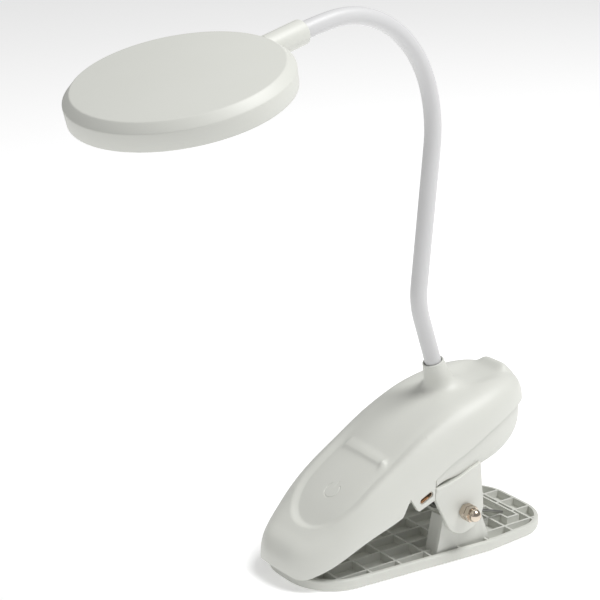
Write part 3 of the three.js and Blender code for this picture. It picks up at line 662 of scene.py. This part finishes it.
def boss_rings(angle):
    """The boss's surface along one direction, from its foot up, over the rim and down the bore."""
    out = Vector((math.cos(angle), math.sin(angle), 0))
    foot = Vector((BOSS_FOOT_X, 0, 0)) + out * BOSS_FOOT_RADIUS
    inner = foot - out * 0.5
    foot.z, inner.z = float(top_height(foot.x, foot.y)), float(top_height(inner.x, inner.y))
    leave = (inner - foot).normalized() * 15
    neck_start = boss_point(angle, 6.3, -8.0)
    arrive = (boss_point(angle, 5.9, -5.0) - neck_start).normalized() * 15
    points = []
    for t in np.linspace(0, 1, 15)[1:]:
        h00, h10 = 2 * t ** 3 - 3 * t ** 2 + 1, t ** 3 - 2 * t ** 2 + t
        h01, h11 = 3 * t ** 2 - 2 * t ** 3, t ** 3 - t ** 2
        points.append(foot * h00 + leave * h10 + neck_start * h01 + arrive * h11)
    points += [boss_point(angle, radius, height) for radius, height in BOSS_PROFILE]
    return points


def open_boss_hole(obj):
    """Deletes the skin inside the boss's foot and draws the hole's edge out to a true circle."""
    mesh = bmesh.new()
    mesh.from_mesh(obj.data)
    centre = Vector((BOSS_FOOT_X, 0))
    inside = [face for face in mesh.faces
              if (face.calc_center_median().xy / MM - centre).length < BOSS_FOOT_RADIUS]
    bmesh.ops.delete(mesh, geom=inside, context="FACES")
    for vert in mesh.verts:
        flat = vert.co.xy / MM - centre
        if vert.is_boundary and flat.length < BOSS_FOOT_RADIUS + 4:
            flat = flat.normalized() * BOSS_FOOT_RADIUS
            x, y = flat.x + centre.x, flat.y
            vert.co = Vector((x, y, float(top_height(x, y)))) * MM
    mesh.to_mesh(obj.data)
    mesh.free()


def grow_boss(obj):
    """Replaces the wall of the hole by the boss: out along its rings, and back to the inner skin."""
    mesh = bmesh.new()
    mesh.from_mesh(obj.data)
    centre = Vector((BOSS_FOOT_X, 0))

    def at_foot(vert):
        flat = vert.co.xy / MM - centre
        expected = float(top_height(vert.co.x / MM, vert.co.y / MM))
        return abs(flat.length - BOSS_FOOT_RADIUS) < 0.02 and abs(vert.co.z / MM - expected) < 0.05

    def below_top(vert):
        return vert.co.z / MM < float(top_height(vert.co.x / MM, vert.co.y / MM)) - 1

    outer = {vert for vert in mesh.verts if at_foot(vert)}
    walls = []
    for face in mesh.faces:
        on_edge = [vert for vert in face.verts if vert in outer]
        if len(on_edge) == 2 and len(face.verts) == 4:
            if all(below_top(vert) for vert in face.verts if vert not in outer):
                walls.append(face)
    columns = {}
    for face in walls:
        for edge in face.edges:
            a, b = edge.verts
            if (a in outer) != (b in outer):
                top, bottom = (a, b) if a in outer else (b, a)
                columns[top] = bottom
    pairs = []
    for face in walls:
        for edge in face.edges:
            if edge.verts[0] in outer and edge.verts[1] in outer:
                pairs.append(tuple(edge.verts))
    bmesh.ops.delete(mesh, geom=walls, context="FACES_ONLY")
    stacks = {}
    for top, bottom in columns.items():
        flat = top.co.xy / MM - centre
        points = boss_rings(math.atan2(flat.y, flat.x))
        stacks[top] = [top, *[mesh.verts.new(point * MM) for point in points], bottom]
    for a, b in pairs:
        for i in range(len(stacks[a]) - 1):
            mesh.faces.new((stacks[a][i], stacks[b][i], stacks[b][i + 1], stacks[a][i + 1]))
    mesh.to_mesh(obj.data)
    mesh.free()
    tidy_mesh(obj)
    print("boss:", len(columns), "columns,", len(pairs), "gores")


# %% Top shell: socket mouth and touch mark
USB_CENTRE = Vector((-23.1, 0, 36.6))
USB_TILT = math.radians(-24.7)
USB_PLACE = Matrix.Translation(USB_CENTRE * MM) @ Matrix.Rotation(USB_TILT, 4, "Y")
MARK_X, MARK_Y = -56.0, -2.0
MARK_RADIUS = 4.1
MARK_LINE = 0.48
MARK_BAR = (1.4, 5.4)


def stadium(width, height, y0, y1):
    """A bar along Y with round ends, centred on the socket."""
    radius = height / 2
    side = width / 2 - radius
    outline = arc(side, 0, radius, -90, 90, 10) + arc(-side, 0, radius, 90, 270, 10)
    obj = slab("bar", outline, y0, y1)
    obj.data.transform(USB_PLACE)
    return obj


def power_mark():
    """A generic standby mark: an open ring and a short bar, as a cutter that just breaks the surface."""
    slope = math.atan2(float(top_height(MARK_X + 2, MARK_Y) - top_height(MARK_X - 2, MARK_Y)), 4)
    middle = Vector((MARK_X, MARK_Y, float(top_height(MARK_X, MARK_Y)) + 0.3)) * MM
    place = Matrix.Translation(middle) @ Matrix.Rotation(-slope, 4, "Y")
    gap = math.radians(38)
    ring = [(MARK_RADIUS * math.cos(a) * MM, MARK_RADIUS * math.sin(a) * MM, 0)
            for a in np.linspace(gap, 2 * math.pi - gap, 48)]
    cutter = tube("mark_ring", ring, MARK_LINE * MM, resolution=3)
    bar = tube("mark_bar", [(end * MM, 0, 0) for end in MARK_BAR], MARK_LINE * MM, resolution=3)
    combine(cutter, bar, "UNION")
    cutter.data.transform(place)
    return cutter


def top_shell():
    edge = outline_points(SHELL_SIDE, 1.15, finer=(
        (-38.5, -30.5, 0.4), (-30.5, -19, 0.7), (-19, -16.5, 0.15)))
    obj = skin("top_shell_moulding", edge, top_height, 62, skirt_edge, falling=True)
    open_boss_hole(obj)
    solidify = obj.modifiers.new("wall", "SOLIDIFY")
    solidify.thickness = WALL * MM
    solidify.offset = -1
    solidify.use_even_offset = False
    apply_modifiers(obj)
    grow_boss(obj)
    combine(obj, stadium(8.2, 3.2, -HALF_WIDTH - 2, -HALF_WIDTH + 6), "DIFFERENCE")
    combine(obj, power_mark(), "DIFFERENCE")
    finish_piece(obj, "upper_jaw", casing_abs, ["top_shell"], angle=40)


top_shell()

# %% [markdown]
# ## Bottom shell
# The belly is a skin of the same kind, tucked inside the skirt. The two upper ears hang from it, and
# the four closing screws sit in shallow round pockets.

# %% Bottom shell
EAR_FACE = 31.0
UPPER_EAR_WALL = 2.6
UPPER_EAR_RADIUS = 11.4
BOLT_HOLE = 2.3
SCREW_SPOTS = ((-68, -14), (-68, 14), (34, -11), (34, 11))
SCREW_SEAT = 1.4
SCREW_POCKET = 2.8
SCREW_HOLE = 1.6
TUB_WALL = 1.8
EAR_ROOT = [(9.2, 46.4), (4, 45), (-3, 42), (-10, 40.2)]


def tub_edge(x, y):
    """Upper edge of the bottom shell: up inside the skirt in front, just under the seam behind."""
    if x < TUCK_FROM:
        return max(float(rim(x)), float(belly(x)) + 1.2) + 3
    return max(float(seam(x)) - 0.15, float(belly(x)) + 1.5)


def upper_ear(side):
    foot = arc(0, PIVOT_Z, UPPER_EAR_RADIUS, 212, 365, 48)
    wall = slab("ear", [(-18, 34.6), *foot, *EAR_ROOT, (-17.2, 39.4)], side * EAR_FACE,
                side * (EAR_FACE - UPPER_EAR_WALL))
    soften(wall, 0.45, segments=3, angle=40)
    root = slab("ear_root", [(-14, 37.2), (8.9, 37.2), *EAR_ROOT, (-14, 39.6)], side * (EAR_FACE - 0.6),
                side * (EAR_FACE - 7))
    return combine(wall, root, "UNION")


def pin(name, radius, x, y, z0, z1):
    place = Matrix.Translation(Vector((x, y, 0)) * MM)
    return turned(name, [(0, z0), (radius, z0), (radius, z1), (0, z1)], place, 32)


def pin_across(name, radius, y0, y1, steps=48):
    place = place_at(Vector((0, 0, PIVOT_Z)) * MM, (0, 1, 0))
    return turned(name, [(0, y0), (radius, y0), (radius, y1), (0, y1)], place, steps)


def bottom_shell():
    edge = outline_points(TUB_SIDE, 1.4, finer=((-18.5, -15.5, 0.12),))
    obj = skin("bottom_shell_moulding", edge, belly_height, 34, tub_edge, falling=False)
    solidify = obj.modifiers.new("wall", "SOLIDIFY")
    solidify.thickness = TUB_WALL * MM
    solidify.offset = -1
    apply_modifiers(obj)
    for side in (-1, 1):
        combine(obj, upper_ear(side), "UNION")
    combine(obj, pin_across("bolt_hole", BOLT_HOLE, -EAR_FACE - 1, EAR_FACE + 1), "DIFFERENCE")
    for x, y in SCREW_SPOTS:
        face = float(belly(x))
        pocket = pin("screw_pocket", SCREW_POCKET, x, y, face - 6, face + SCREW_SEAT)
        combine(obj, pocket, "DIFFERENCE")
        combine(obj, pin("screw_hole", SCREW_HOLE, x, y, face - 6, face + 6), "DIFFERENCE")
    finish_piece(obj, "upper_jaw", casing_abs, ["bottom_shell"], angle=35)


bottom_shell()

# %% [markdown]
# ## Clip board
# The lower jaw is a thin tray stiffened by a grid of ribs, open at the top and flat below. Its two
# ears carry the pivot, and a flange folds in from the front edge of each.

# %% Clip board
BOARD_TOP = 5.2
BOARD_FLOOR = 1.2
BOARD_RIM = 2.2
BOARD_EDGE = 1.1
BOARD_CORNERS = ((-58, 4.3, 24), (15, 12.8, 20), (37.5, 8.5, 22))
RIB = 1.1
RIB_START, RIB_PITCH_X, RIB_PITCH_Y = -1.3, 16.6, 11.6
POCKET = (40.0, 45.5, 16.0)  # from X, to X, half its width
LOWER_EAR_FACE = 28.0
LOWER_EAR_BACK = 25.8
LOWER_EAR_RADIUS = 10
LOWER_EAR_FRONT_X, LOWER_EAR_REAR_X = -14.5, 19.5
FLANGE_WALL = 1.8


def hull(points):
    """The outline a belt takes round a set of points."""
    ordered = sorted(points)
    loop = []
    for run in (ordered, ordered[::-1]):
        chain = []
        for p in run:
            while len(chain) > 1:
                (ax, ay), (bx, by) = chain[-2:]
                if (bx - ax) * (p[1] - ay) - (by - ay) * (p[0] - ax) > 1e-6:
                    break
                chain.pop()
            chain.append(p)
        loop += chain[:-1]
    return loop


def board_outline(inset):
    rounds = [arc(x, side * y, r - inset, 0, 360, 96) for x, y, r in BOARD_CORNERS for side in (-1, 1)]
    return hull([point for ring in rounds for point in ring])


def board_plate(name, inset, z0, z1):
    """The board's outline as a plate: a slab turned to lie flat."""
    flat = slab(name, [(x, -y) for x, y in board_outline(inset)], z0, z1)
    flat.data.transform(Matrix(((1, 0, 0, 0), (0, 0, -1, 0), (0, 1, 0, 0), (0, 0, 0, 1))))
    return flat


def cell_rows():
    """The openings between the ribs, as spans along X and along Y."""
    rib_x = [RIB_START + RIB_PITCH_X * k for k in range(-5, 5)]
    rib_y = [RIB_PITCH_Y * k for k in range(-2, 3)]
    cuts_x = [-90, *rib_x, 70]
    cuts_y = [-40, *rib_y, 40]
    spans_x = [(a + RIB / 2, b - RIB / 2) for a, b in zip(cuts_x, cuts_x[1:])]
    spans_y = [(a + RIB / 2, b - RIB / 2) for a, b in zip(cuts_y, cuts_y[1:])]
    return spans_x, spans_y


def board_cells():
    """One solid per opening, cut to the rim's inner outline and kept clear of the spring's pocket."""
    inner = board_plate("cells", BOARD_RIM, BOARD_FLOOR, BOARD_TOP + 1)
    spans_x, spans_y = cell_rows()
    x_walls = [(a[1], b[0]) for a, b in zip(spans_x, spans_x[1:])]
    y_walls = [(a[1], b[0]) for a, b in zip(spans_y, spans_y[1:])]
    x0, x1, half = POCKET
    walls = [block("rib", span, (-40, 40), (0, 9)) for span in x_walls]
    walls += [block("rib", (-90, 70), span, (0, 9)) for span in y_walls]
    grid = walls[0]
    for wall in walls[1:]:
        combine(grid, wall, "UNION")
    frame_block = block("pocket_frame", (x0 - RIB, x1 + RIB), (-half - RIB, half + RIB), (0, 9))
    combine(grid, frame_block, "UNION")
    combine(grid, block("pocket", (x0, x1), (-half, half), (-1, 10)), "DIFFERENCE")
    return combine(inner, grid, "DIFFERENCE")


def lower_ear(side):
    foot = BOARD_FLOOR / 2
    profile = hull([*arc(0, PIVOT_Z, LOWER_EAR_RADIUS, -20, 200, 60),
                    (LOWER_EAR_FRONT_X, foot), (LOWER_EAR_REAR_X, foot)])
    wall = slab("ear", profile, side * LOWER_EAR_FACE, side * LOWER_EAR_BACK)
    lean = (PIVOT_Z - BOARD_FLOOR) / 4.5
    top = PIVOT_Z - 2
    top_x = LOWER_EAR_FRONT_X + (top - BOARD_FLOOR) / lean
    corners = [(LOWER_EAR_FRONT_X, foot), (LOWER_EAR_FRONT_X + FLANGE_WALL, foot),
               (top_x + FLANGE_WALL, top), (top_x, top)]
    flange = slab("flange", corners,
                  side * (LOWER_EAR_FACE - 0.2), side * (LOWER_EAR_FACE - 8.7))
    return combine(wall, flange, "UNION")


def clip_board():
    obj = board_plate("lower_jaw_moulding", 0, 0, BOARD_TOP)
    soften(obj, BOARD_EDGE, segments=4, angle=60)
    combine(obj, board_cells(), "DIFFERENCE")
    for side in (-1, 1):
        combine(obj, lower_ear(side), "UNION")
    combine(obj, pin_across("bolt_hole", BOLT_HOLE, -EAR_FACE - 1, EAR_FACE + 1), "DIFFERENCE")
    soften(obj, 0.22, segments=2, angle=50)
    finish_piece(obj, "lower_jaw", board_abs, ["lower_jaw"], angle=30)


clip_board()

# %% [markdown]
# ## Pivot
# A bolt runs through both pairs of ears inside a plastic bush. On the near side it carries a plain
# nut and a domed cap nut; on the far side its head, with a cross recess, sits on a washer.

# %% Pivot hardware
ACROSS = place_at(Vector((0, 0, PIVOT_Z)) * MM, (0, 1, 0))
NUT_CORNER = 7 / math.sqrt(3)


def hexagon_nut(name, y0, y1, chamfered_inside):
    """A hexagon trimmed by a turned blank, which gives the curved corners of a real nut."""
    outline = arc(0, PIVOT_Z, NUT_CORNER, 0, 300, 5)
    obj = slab(name, outline, y0, y1)
    flat = NUT_CORNER * 0.93
    full = NUT_CORNER * 1.05
    inside = flat if chamfered_inside else full
    middle = (y0 + y1) / 2
    profile = [(0, y0), (flat, y0), (full, min(y0 + 0.55, middle)), (full, max(y1 - 0.55, middle)),
               (inside, y1), (0, y1)]
    blank = turned("blank", profile, ACROSS, 96)
    return combine(obj, blank, "INTERSECT")


def pivot_nut():
    obj = hexagon_nut("pivot_nut_machined", -34.4, -31.4, chamfered_inside=True)
    combine(obj, pin_across("hole", BOLT_HOLE, -36, -30), "DIFFERENCE")
    soften(obj, 0.12, segments=2, angle=30)
    finish_piece(obj, "upper_jaw", nickel_plate, ["pivot_nut"], angle=28)


def cap_nut():
    obj = hexagon_nut("pivot_cap_nut_machined", -37.1, -34.7, chamfered_inside=False)
    combine(obj, pin_across("collar", 3.35, -37.5, -36.9, 96), "UNION")
    ball = [(3.1 * math.sin(a), -38.1 - 3.1 * math.cos(a))
            for a in np.linspace(0, math.radians(108), 24)]
    dome = turned("dome", [*ball, (0, ball[-1][1])], ACROSS, 96)
    combine(obj, dome, "UNION")
    combine(obj, pin_across("hole", BOLT_HOLE, -37.7, -34), "DIFFERENCE")
    soften(obj, 0.12, segments=2, angle=30)
    finish_piece(obj, "upper_jaw", nickel_plate, ["pivot_cap_nut"], angle=28)


def cross_recess(place, span, depth):
    """A cutter for a cross-head drive: two tapered blades, point down at the origin of `place`."""
    cutter = None
    for blade in ((span, span * 0.28), (span * 0.28, span)):
        w, d = blade
        top = [(-w, -d, 0.3), (w, -d, 0.3), (w, d, 0.3), (-w, d, 0.3)]
        low = [(x * 0.45, y * 0.6, -depth) for x, y, _ in top]
        points = [(x * MM, y * MM, z * MM) for x, y, z in (*top, *low)]
        sides = [(i, i + 4, (i + 1) % 4 + 4, (i + 1) % 4) for i in range(4)]
        faces = [(0, 1, 2, 3), (7, 6, 5, 4), *sides]
        bar = mesh_object("blade", points, faces=faces)
        tidy_mesh(bar, 1e-7)
        cutter = bar if cutter is None else combine(cutter, bar, "UNION")
    cutter.data.transform(place)
    return cutter


def pivot_bolt():
    top = 32.5
    profile = [(0, -37.1), (1.7, -37.1), (2.0, -36.8), (2.0, top), (3.45, top), (3.6, top + 0.15),
               (3.6, top + 0.9), (3.5, top + 1.35), (3.1, top + 1.95), (2.4, top + 2.4),
               (1.5, top + 2.7), (0, top + 2.8)]
    obj = turned("pivot_bolt_machined", profile, ACROSS, 96)
    recess = cross_recess(place_at(Vector((0, top + 2.8, PIVOT_Z)) * MM, (0, 1, 0)), 1.7, 1.6)
    combine(obj, recess, "DIFFERENCE")
    finish_piece(obj, "upper_jaw", nickel_plate, ["pivot_bolt"], angle=35)


def washer():
    profile = [(BOLT_HOLE, 31.4), (4.25, 31.4), (4.4, 31.5), (4.4, 32.1), (4.25, 32.2),
               (BOLT_HOLE, 32.2), (BOLT_HOLE, 31.4)]
    obj = turned("pivot_washer_stamped", profile, ACROSS, 96)
    finish_piece(obj, "upper_jaw", nickel_plate, ["pivot_washer"], angle=35)


def bush():
    profile = [(2.3, -25.5), (3.2, -25.5), (3.5, -25.2), (3.5, 25.2), (3.2, 25.5), (2.3, 25.5),
               (2.3, -25.5)]
    obj = turned("pivot_bush_moulded", profile, ACROSS, 72)
    finish_piece(obj, "lower_jaw", bush_acetal, ["pivot_bush"], angle=35)


for make in (pivot_nut, cap_nut, pivot_bolt, washer, bush):
    make()

# %% [markdown]
# ## Springs
# The torsion spring is one wire: a close coil round the bush that ends in a straight leg, held in a
# pocket of the clip board. The other leg presses up under the handle.

# %% Springs
COIL_RADIUS = 5.3
WIRE = 1.6
COIL_PITCH = 1.75
COIL_TURNS = 5.75
COIL_START = -11.0


def coil_point(turn):
    angle = 2 * math.pi * turn
    return (-COIL_RADIUS * math.sin(angle), COIL_START + COIL_PITCH * turn,
            PIVOT_Z - COIL_RADIUS * math.cos(angle))


def spring():
    coil = [coil_point(turn) for turn in np.linspace(0, COIL_TURNS - 0.25, 230)]
    bend = [(1.2, -11.35, PIVOT_Z - 5.27), (2.6, -12.0, PIVOT_Z - 5.35), (4.6, -12.6, PIVOT_Z - 5.8),
            (7.5, -12.9, PIVOT_Z - 7.0), (39.2, -12.9, 6.7)]
    points = [tuple(v * MM for v in p) for p in [*bend[::-1], *coil]]
    obj = tube("torsion_spring_wound", points, WIRE / 2 * MM, resolution=5)
    nodes = ["torsion_spring", "torsion_spring_lower_leg"]
    finish_piece(obj, "lower_jaw", drawn_steel, nodes, 45)


def spring_upper_leg():
    end = Vector((33, 1.1, float(belly(33)) - WIRE / 2 - 0.7))
    start = Vector((1, 1.1, PIVOT_Z + COIL_RADIUS + 0.6))
    straight = (end - start).normalized()
    points = [start, start + straight * 2, end - straight * 2.5, end - straight * 1.2, end]
    obj = tube("torsion_spring_leg", [p * MM for p in points], WIRE / 2 * MM, resolution=5)
    soften(obj, 0.2, segments=2, angle=50)
    finish_piece(obj, "upper_jaw", drawn_steel, ["torsion_spring_upper_leg"], 45)


spring()
spring_upper_leg()

# %% [markdown]
# ## Neck
# The gooseneck keeps the bend it is given. Its six joints are close enough together to be the bends
# of one sleeve, so the sleeve is made in six pieces and each crosses a single joint. Neighbours meet
# halfway between two joints, where both lie along the same link.

# %% Neck path
NECK_RADIUS = 4.0
NECK_YAW = math.radians(5.85)
NECK_ARCS = ((23.4, 0), (16.8, -25.6), (63.9, 0), (31.6, 26.7), (72.1, 79.3), (16.5, 5.2))
NECK_LENGTH = sum(length for length, _ in NECK_ARCS)
NECK_TAIL = 20.0
COLLAR_GRIP = 9.0
JOINT_AT = np.linspace(NECK_FIRST_JOINT, NECK_LENGTH - 12, 6)
BEND_REACH = 14.0
NECK_FRAME = (Matrix.Translation(BOSS_RIM * MM) @ Matrix.Rotation(-BOSS_LEAN, 4, "Y")
              @ Matrix.Rotation(NECK_YAW, 4, "Z"))


def neck_at(distance):
    """Position in mm, and heading, at a distance along the neck. It runs straight on past either end."""
    if distance < 0:
        return Vector((0, 0, distance)), 0.0
    x = z = heading = 0.0
    left = distance
    for length, bend in NECK_ARCS:
        run = min(left, length)
        turn = math.radians(bend) * run / length
        chord = run * math.sin(turn / 2) / (turn / 2) if turn else run
        x -= chord * math.sin(heading + turn / 2)
        z += chord * math.cos(heading + turn / 2)
        heading += turn
        left -= run
    return Vector((x - left * math.sin(heading), 0, z + left * math.cos(heading))), heading


def neck_point(distance):
    return NECK_FRAME @ (neck_at(distance)[0] * MM)


def neck():
    middles = [(a + b) / 2 for a, b in zip(JOINT_AT, JOINT_AT[1:])]
    ends = [-NECK_TAIL, *middles, NECK_LENGTH + COLLAR_GRIP]
    for k, (start, end) in enumerate(zip(ends, ends[1:])):
        steps = round((end - start) / 1.2)
        along = [start, *np.linspace(start + 0.05, end - 0.05, steps), end]
        points = [neck_point(d) for d in along]
        obj = tube(f"neck_sleeve_bend_{k + 1}", points, NECK_RADIUS * MM, resolution=9)
        nodes = [f"neck_sleeve_{k}"] + (["neck_sleeve_6"] if k == 5 else [])
        finish_piece(obj, None, sleeve_silicone, nodes, angle=60)
        joint = JOINT_AT[k]
        neck_point(joint - BEND_REACH)
        neck_point(joint + BEND_REACH)
        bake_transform(obj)


neck()

# %% [markdown]
# ## Head
# A flat drum with a broad chamfer round its upper edge, a side wall that draws in slightly towards
# the light, and a round collar that grips the neck. Seen from below, an opal disc fills it.

# %% Head
HEAD_RADIUS = 48.2
HEAD_TOP, HEAD_RIM = 5.8, 2.2
HEAD_CHAMFER = 3.6
HEAD_TAPER = 0.3
HEAD_SKIN = 1.6
DIFFUSER_WALL = 1.6
COLLAR_RADIUS = 5.7
COLLAR_END = HEAD_RADIUS + 19.0
COLLAR_DROP = 0.9
HEAD_TWIST = math.radians(4.6)


def head_frame():
    """The head's own frame: X towards the collar, Z out of its top."""
    mouth, heading = neck_at(NECK_LENGTH)
    outward = Vector((-math.sin(heading), 0, math.cos(heading)))
    upward = Vector((math.cos(heading), 0, math.sin(heading)))
    centre = mouth + outward * COLLAR_END
    turn = Matrix((-outward, upward.cross(-outward), upward)).transposed().to_4x4()
    place = NECK_FRAME @ Matrix.Translation(centre * MM) @ turn @ Matrix.Rotation(HEAD_TWIST, 4, "X")
    return place @ Matrix.Translation(Vector((0, 0, COLLAR_DROP * MM)))


HEAD_FRAME = head_frame()
COLLAR_AXIS = HEAD_FRAME @ Matrix.Translation(Vector((0, 0, -COLLAR_DROP)) * MM) @ Matrix.Rotation(
    math.pi / 2, 4, "Y")


def head_cover():
    wall = HEAD_RADIUS - HEAD_TAPER
    profile = [(0, HEAD_TOP), (HEAD_RADIUS - HEAD_CHAMFER, HEAD_TOP), (HEAD_RADIUS, HEAD_RIM),
               (wall, -HEAD_TOP), (wall - HEAD_SKIN, -HEAD_TOP),
               (HEAD_RADIUS - HEAD_SKIN, HEAD_RIM - 0.8),
               (HEAD_RADIUS - HEAD_CHAMFER - 1, HEAD_TOP - HEAD_SKIN), (0, HEAD_TOP - HEAD_SKIN)]
    obj = turned("head_cover_moulding", profile, HEAD_FRAME, 160)
    soften(obj, 0.5, segments=3, angle=20)
    inner = HEAD_RADIUS - 1.9
    rounded = [(inset, COLLAR_END - back) for inset, back in ((0.1, 0.6), (0.35, 0.25), (0.75, 0))]
    collar = [(0, inner), (COLLAR_RADIUS, inner), (COLLAR_RADIUS, COLLAR_END - 1),
              *[(COLLAR_RADIUS - inset, end) for inset, end in rounded], (0, COLLAR_END)]
    combine(obj, turned("collar", collar, COLLAR_AXIS, 72), "UNION")
    bore = NECK_RADIUS + 0.4
    hole = turned("collar_bore", [(0, HEAD_RADIUS - 8), (bore, HEAD_RADIUS - 8), (bore, COLLAR_END + 1),
                                  (0, COLLAR_END + 1)], COLLAR_AXIS, 60)
    combine(obj, hole, "DIFFERENCE")
    finish_piece(obj, "head", casing_abs, ["head_cover"], angle=24)


def diffuser():
    radius = HEAD_RADIUS - HEAD_TAPER - HEAD_SKIN - 0.3
    low = -HEAD_TOP + 0.2
    high = low + DIFFUSER_WALL
    profile = [(0, low), (radius - 0.5, low), (radius - 0.15, low + 0.15), (radius, low + 0.5),
               (radius, high), (0, high)]
    obj = turned("diffuser_disc", profile, HEAD_FRAME, 160)
    finish_piece(obj, "head", opal_acrylic, ["diffuser"], angle=40)


head_cover()
diffuser()

# %% [markdown]
# ## Small parts
# The charging socket is a folded metal mouth with a contact tongue inside. Each closing screw is a
# pan head with a cross recess, sunk in its pocket under the belly.

# %% Socket and screws
def socket():
    shell = stadium(7.6, 2.6, -30.6, -25)
    combine(shell, stadium(6.9, 1.9, -31.5, -25.6), "DIFFERENCE")
    soften(shell, 0.12, segments=2, angle=50)
    finish_piece(shell, "upper_jaw", nickel_plate, ["usb_socket"], angle=35)
    insert = stadium(6.7, 1.7, -29.0, -25.7)
    soften(insert, 0.1, segments=2, angle=50)
    insert.name = "usb_insulator"
    finish_piece(insert, "upper_jaw", black_nylon, angle=35)
    tongue = slab("usb_tongue", [(-2.8, -0.75), (1.2, -0.75), (1.2, -0.3), (-2.8, -0.3)], -30.2, -28.6)
    soften(tongue, 0.1, segments=2, angle=50)
    tongue.data.transform(USB_PLACE)
    finish_piece(tongue, "upper_jaw", contact_gold, angle=35)


def shell_screw(index, x, y):
    seat = float(belly(x)) + SCREW_SEAT
    profile = [(0, seat - 1.3), (1.5, seat - 1.28), (2.0, seat - 1.1), (2.2, seat - 0.8),
               (2.2, seat - 0.3), (1.3, seat - 0.3), (1.3, seat + 6.6), (0.9, seat + 7), (0, seat + 7)]
    place = Matrix.Translation(Vector((x, y, 0)) * MM)
    obj = turned(f"shell_screw_{index}_turned", profile, place, 48)
    drive = place_at(Vector((x, y, seat - 1.3)) * MM, (0, 0, -1))
    combine(obj, cross_recess(drive, 1.15, 0.8), "DIFFERENCE")
    finish_piece(obj, "upper_jaw", drawn_steel, [f"shell_screw_{index}"], angle=35)


black_nylon = moulded_plastic("socket_insulator_nylon", "#1C1C1D", "#242425", 0.45, grain=0.3)
contact_gold = plated_metal("contact_gold", "#C79A72", "#B48660", 0.3, 0.4)
socket()
for number, (spot_x, spot_y) in enumerate(SCREW_SPOTS, 1):
    shell_screw(number, spot_x, spot_y)

# %% [markdown]
# ## What stays as it is in the frame
# The parts inside the casing and under the sleeve keep their CAD shape. Each gets a real finish.

# %% Finishes for the parts inside
INSIDE = {
    "control_board": solder_green,
    "touch_spring": nickel_plate,
    "battery_cell": cell_film,
    "led_board": solder_white,
    "neck_anchor": nickel_plate,
    "head_ferrule": nickel_plate,
}
INSIDE.update({f"neck_core_{k}": drawn_steel for k in range(7)})
for name, material in INSIDE.items():
    mesh = frame["nodes"][name].data
    mesh.materials.clear()
    mesh.materials.append(material)
print("finished inside parts:", len(INSIDE))
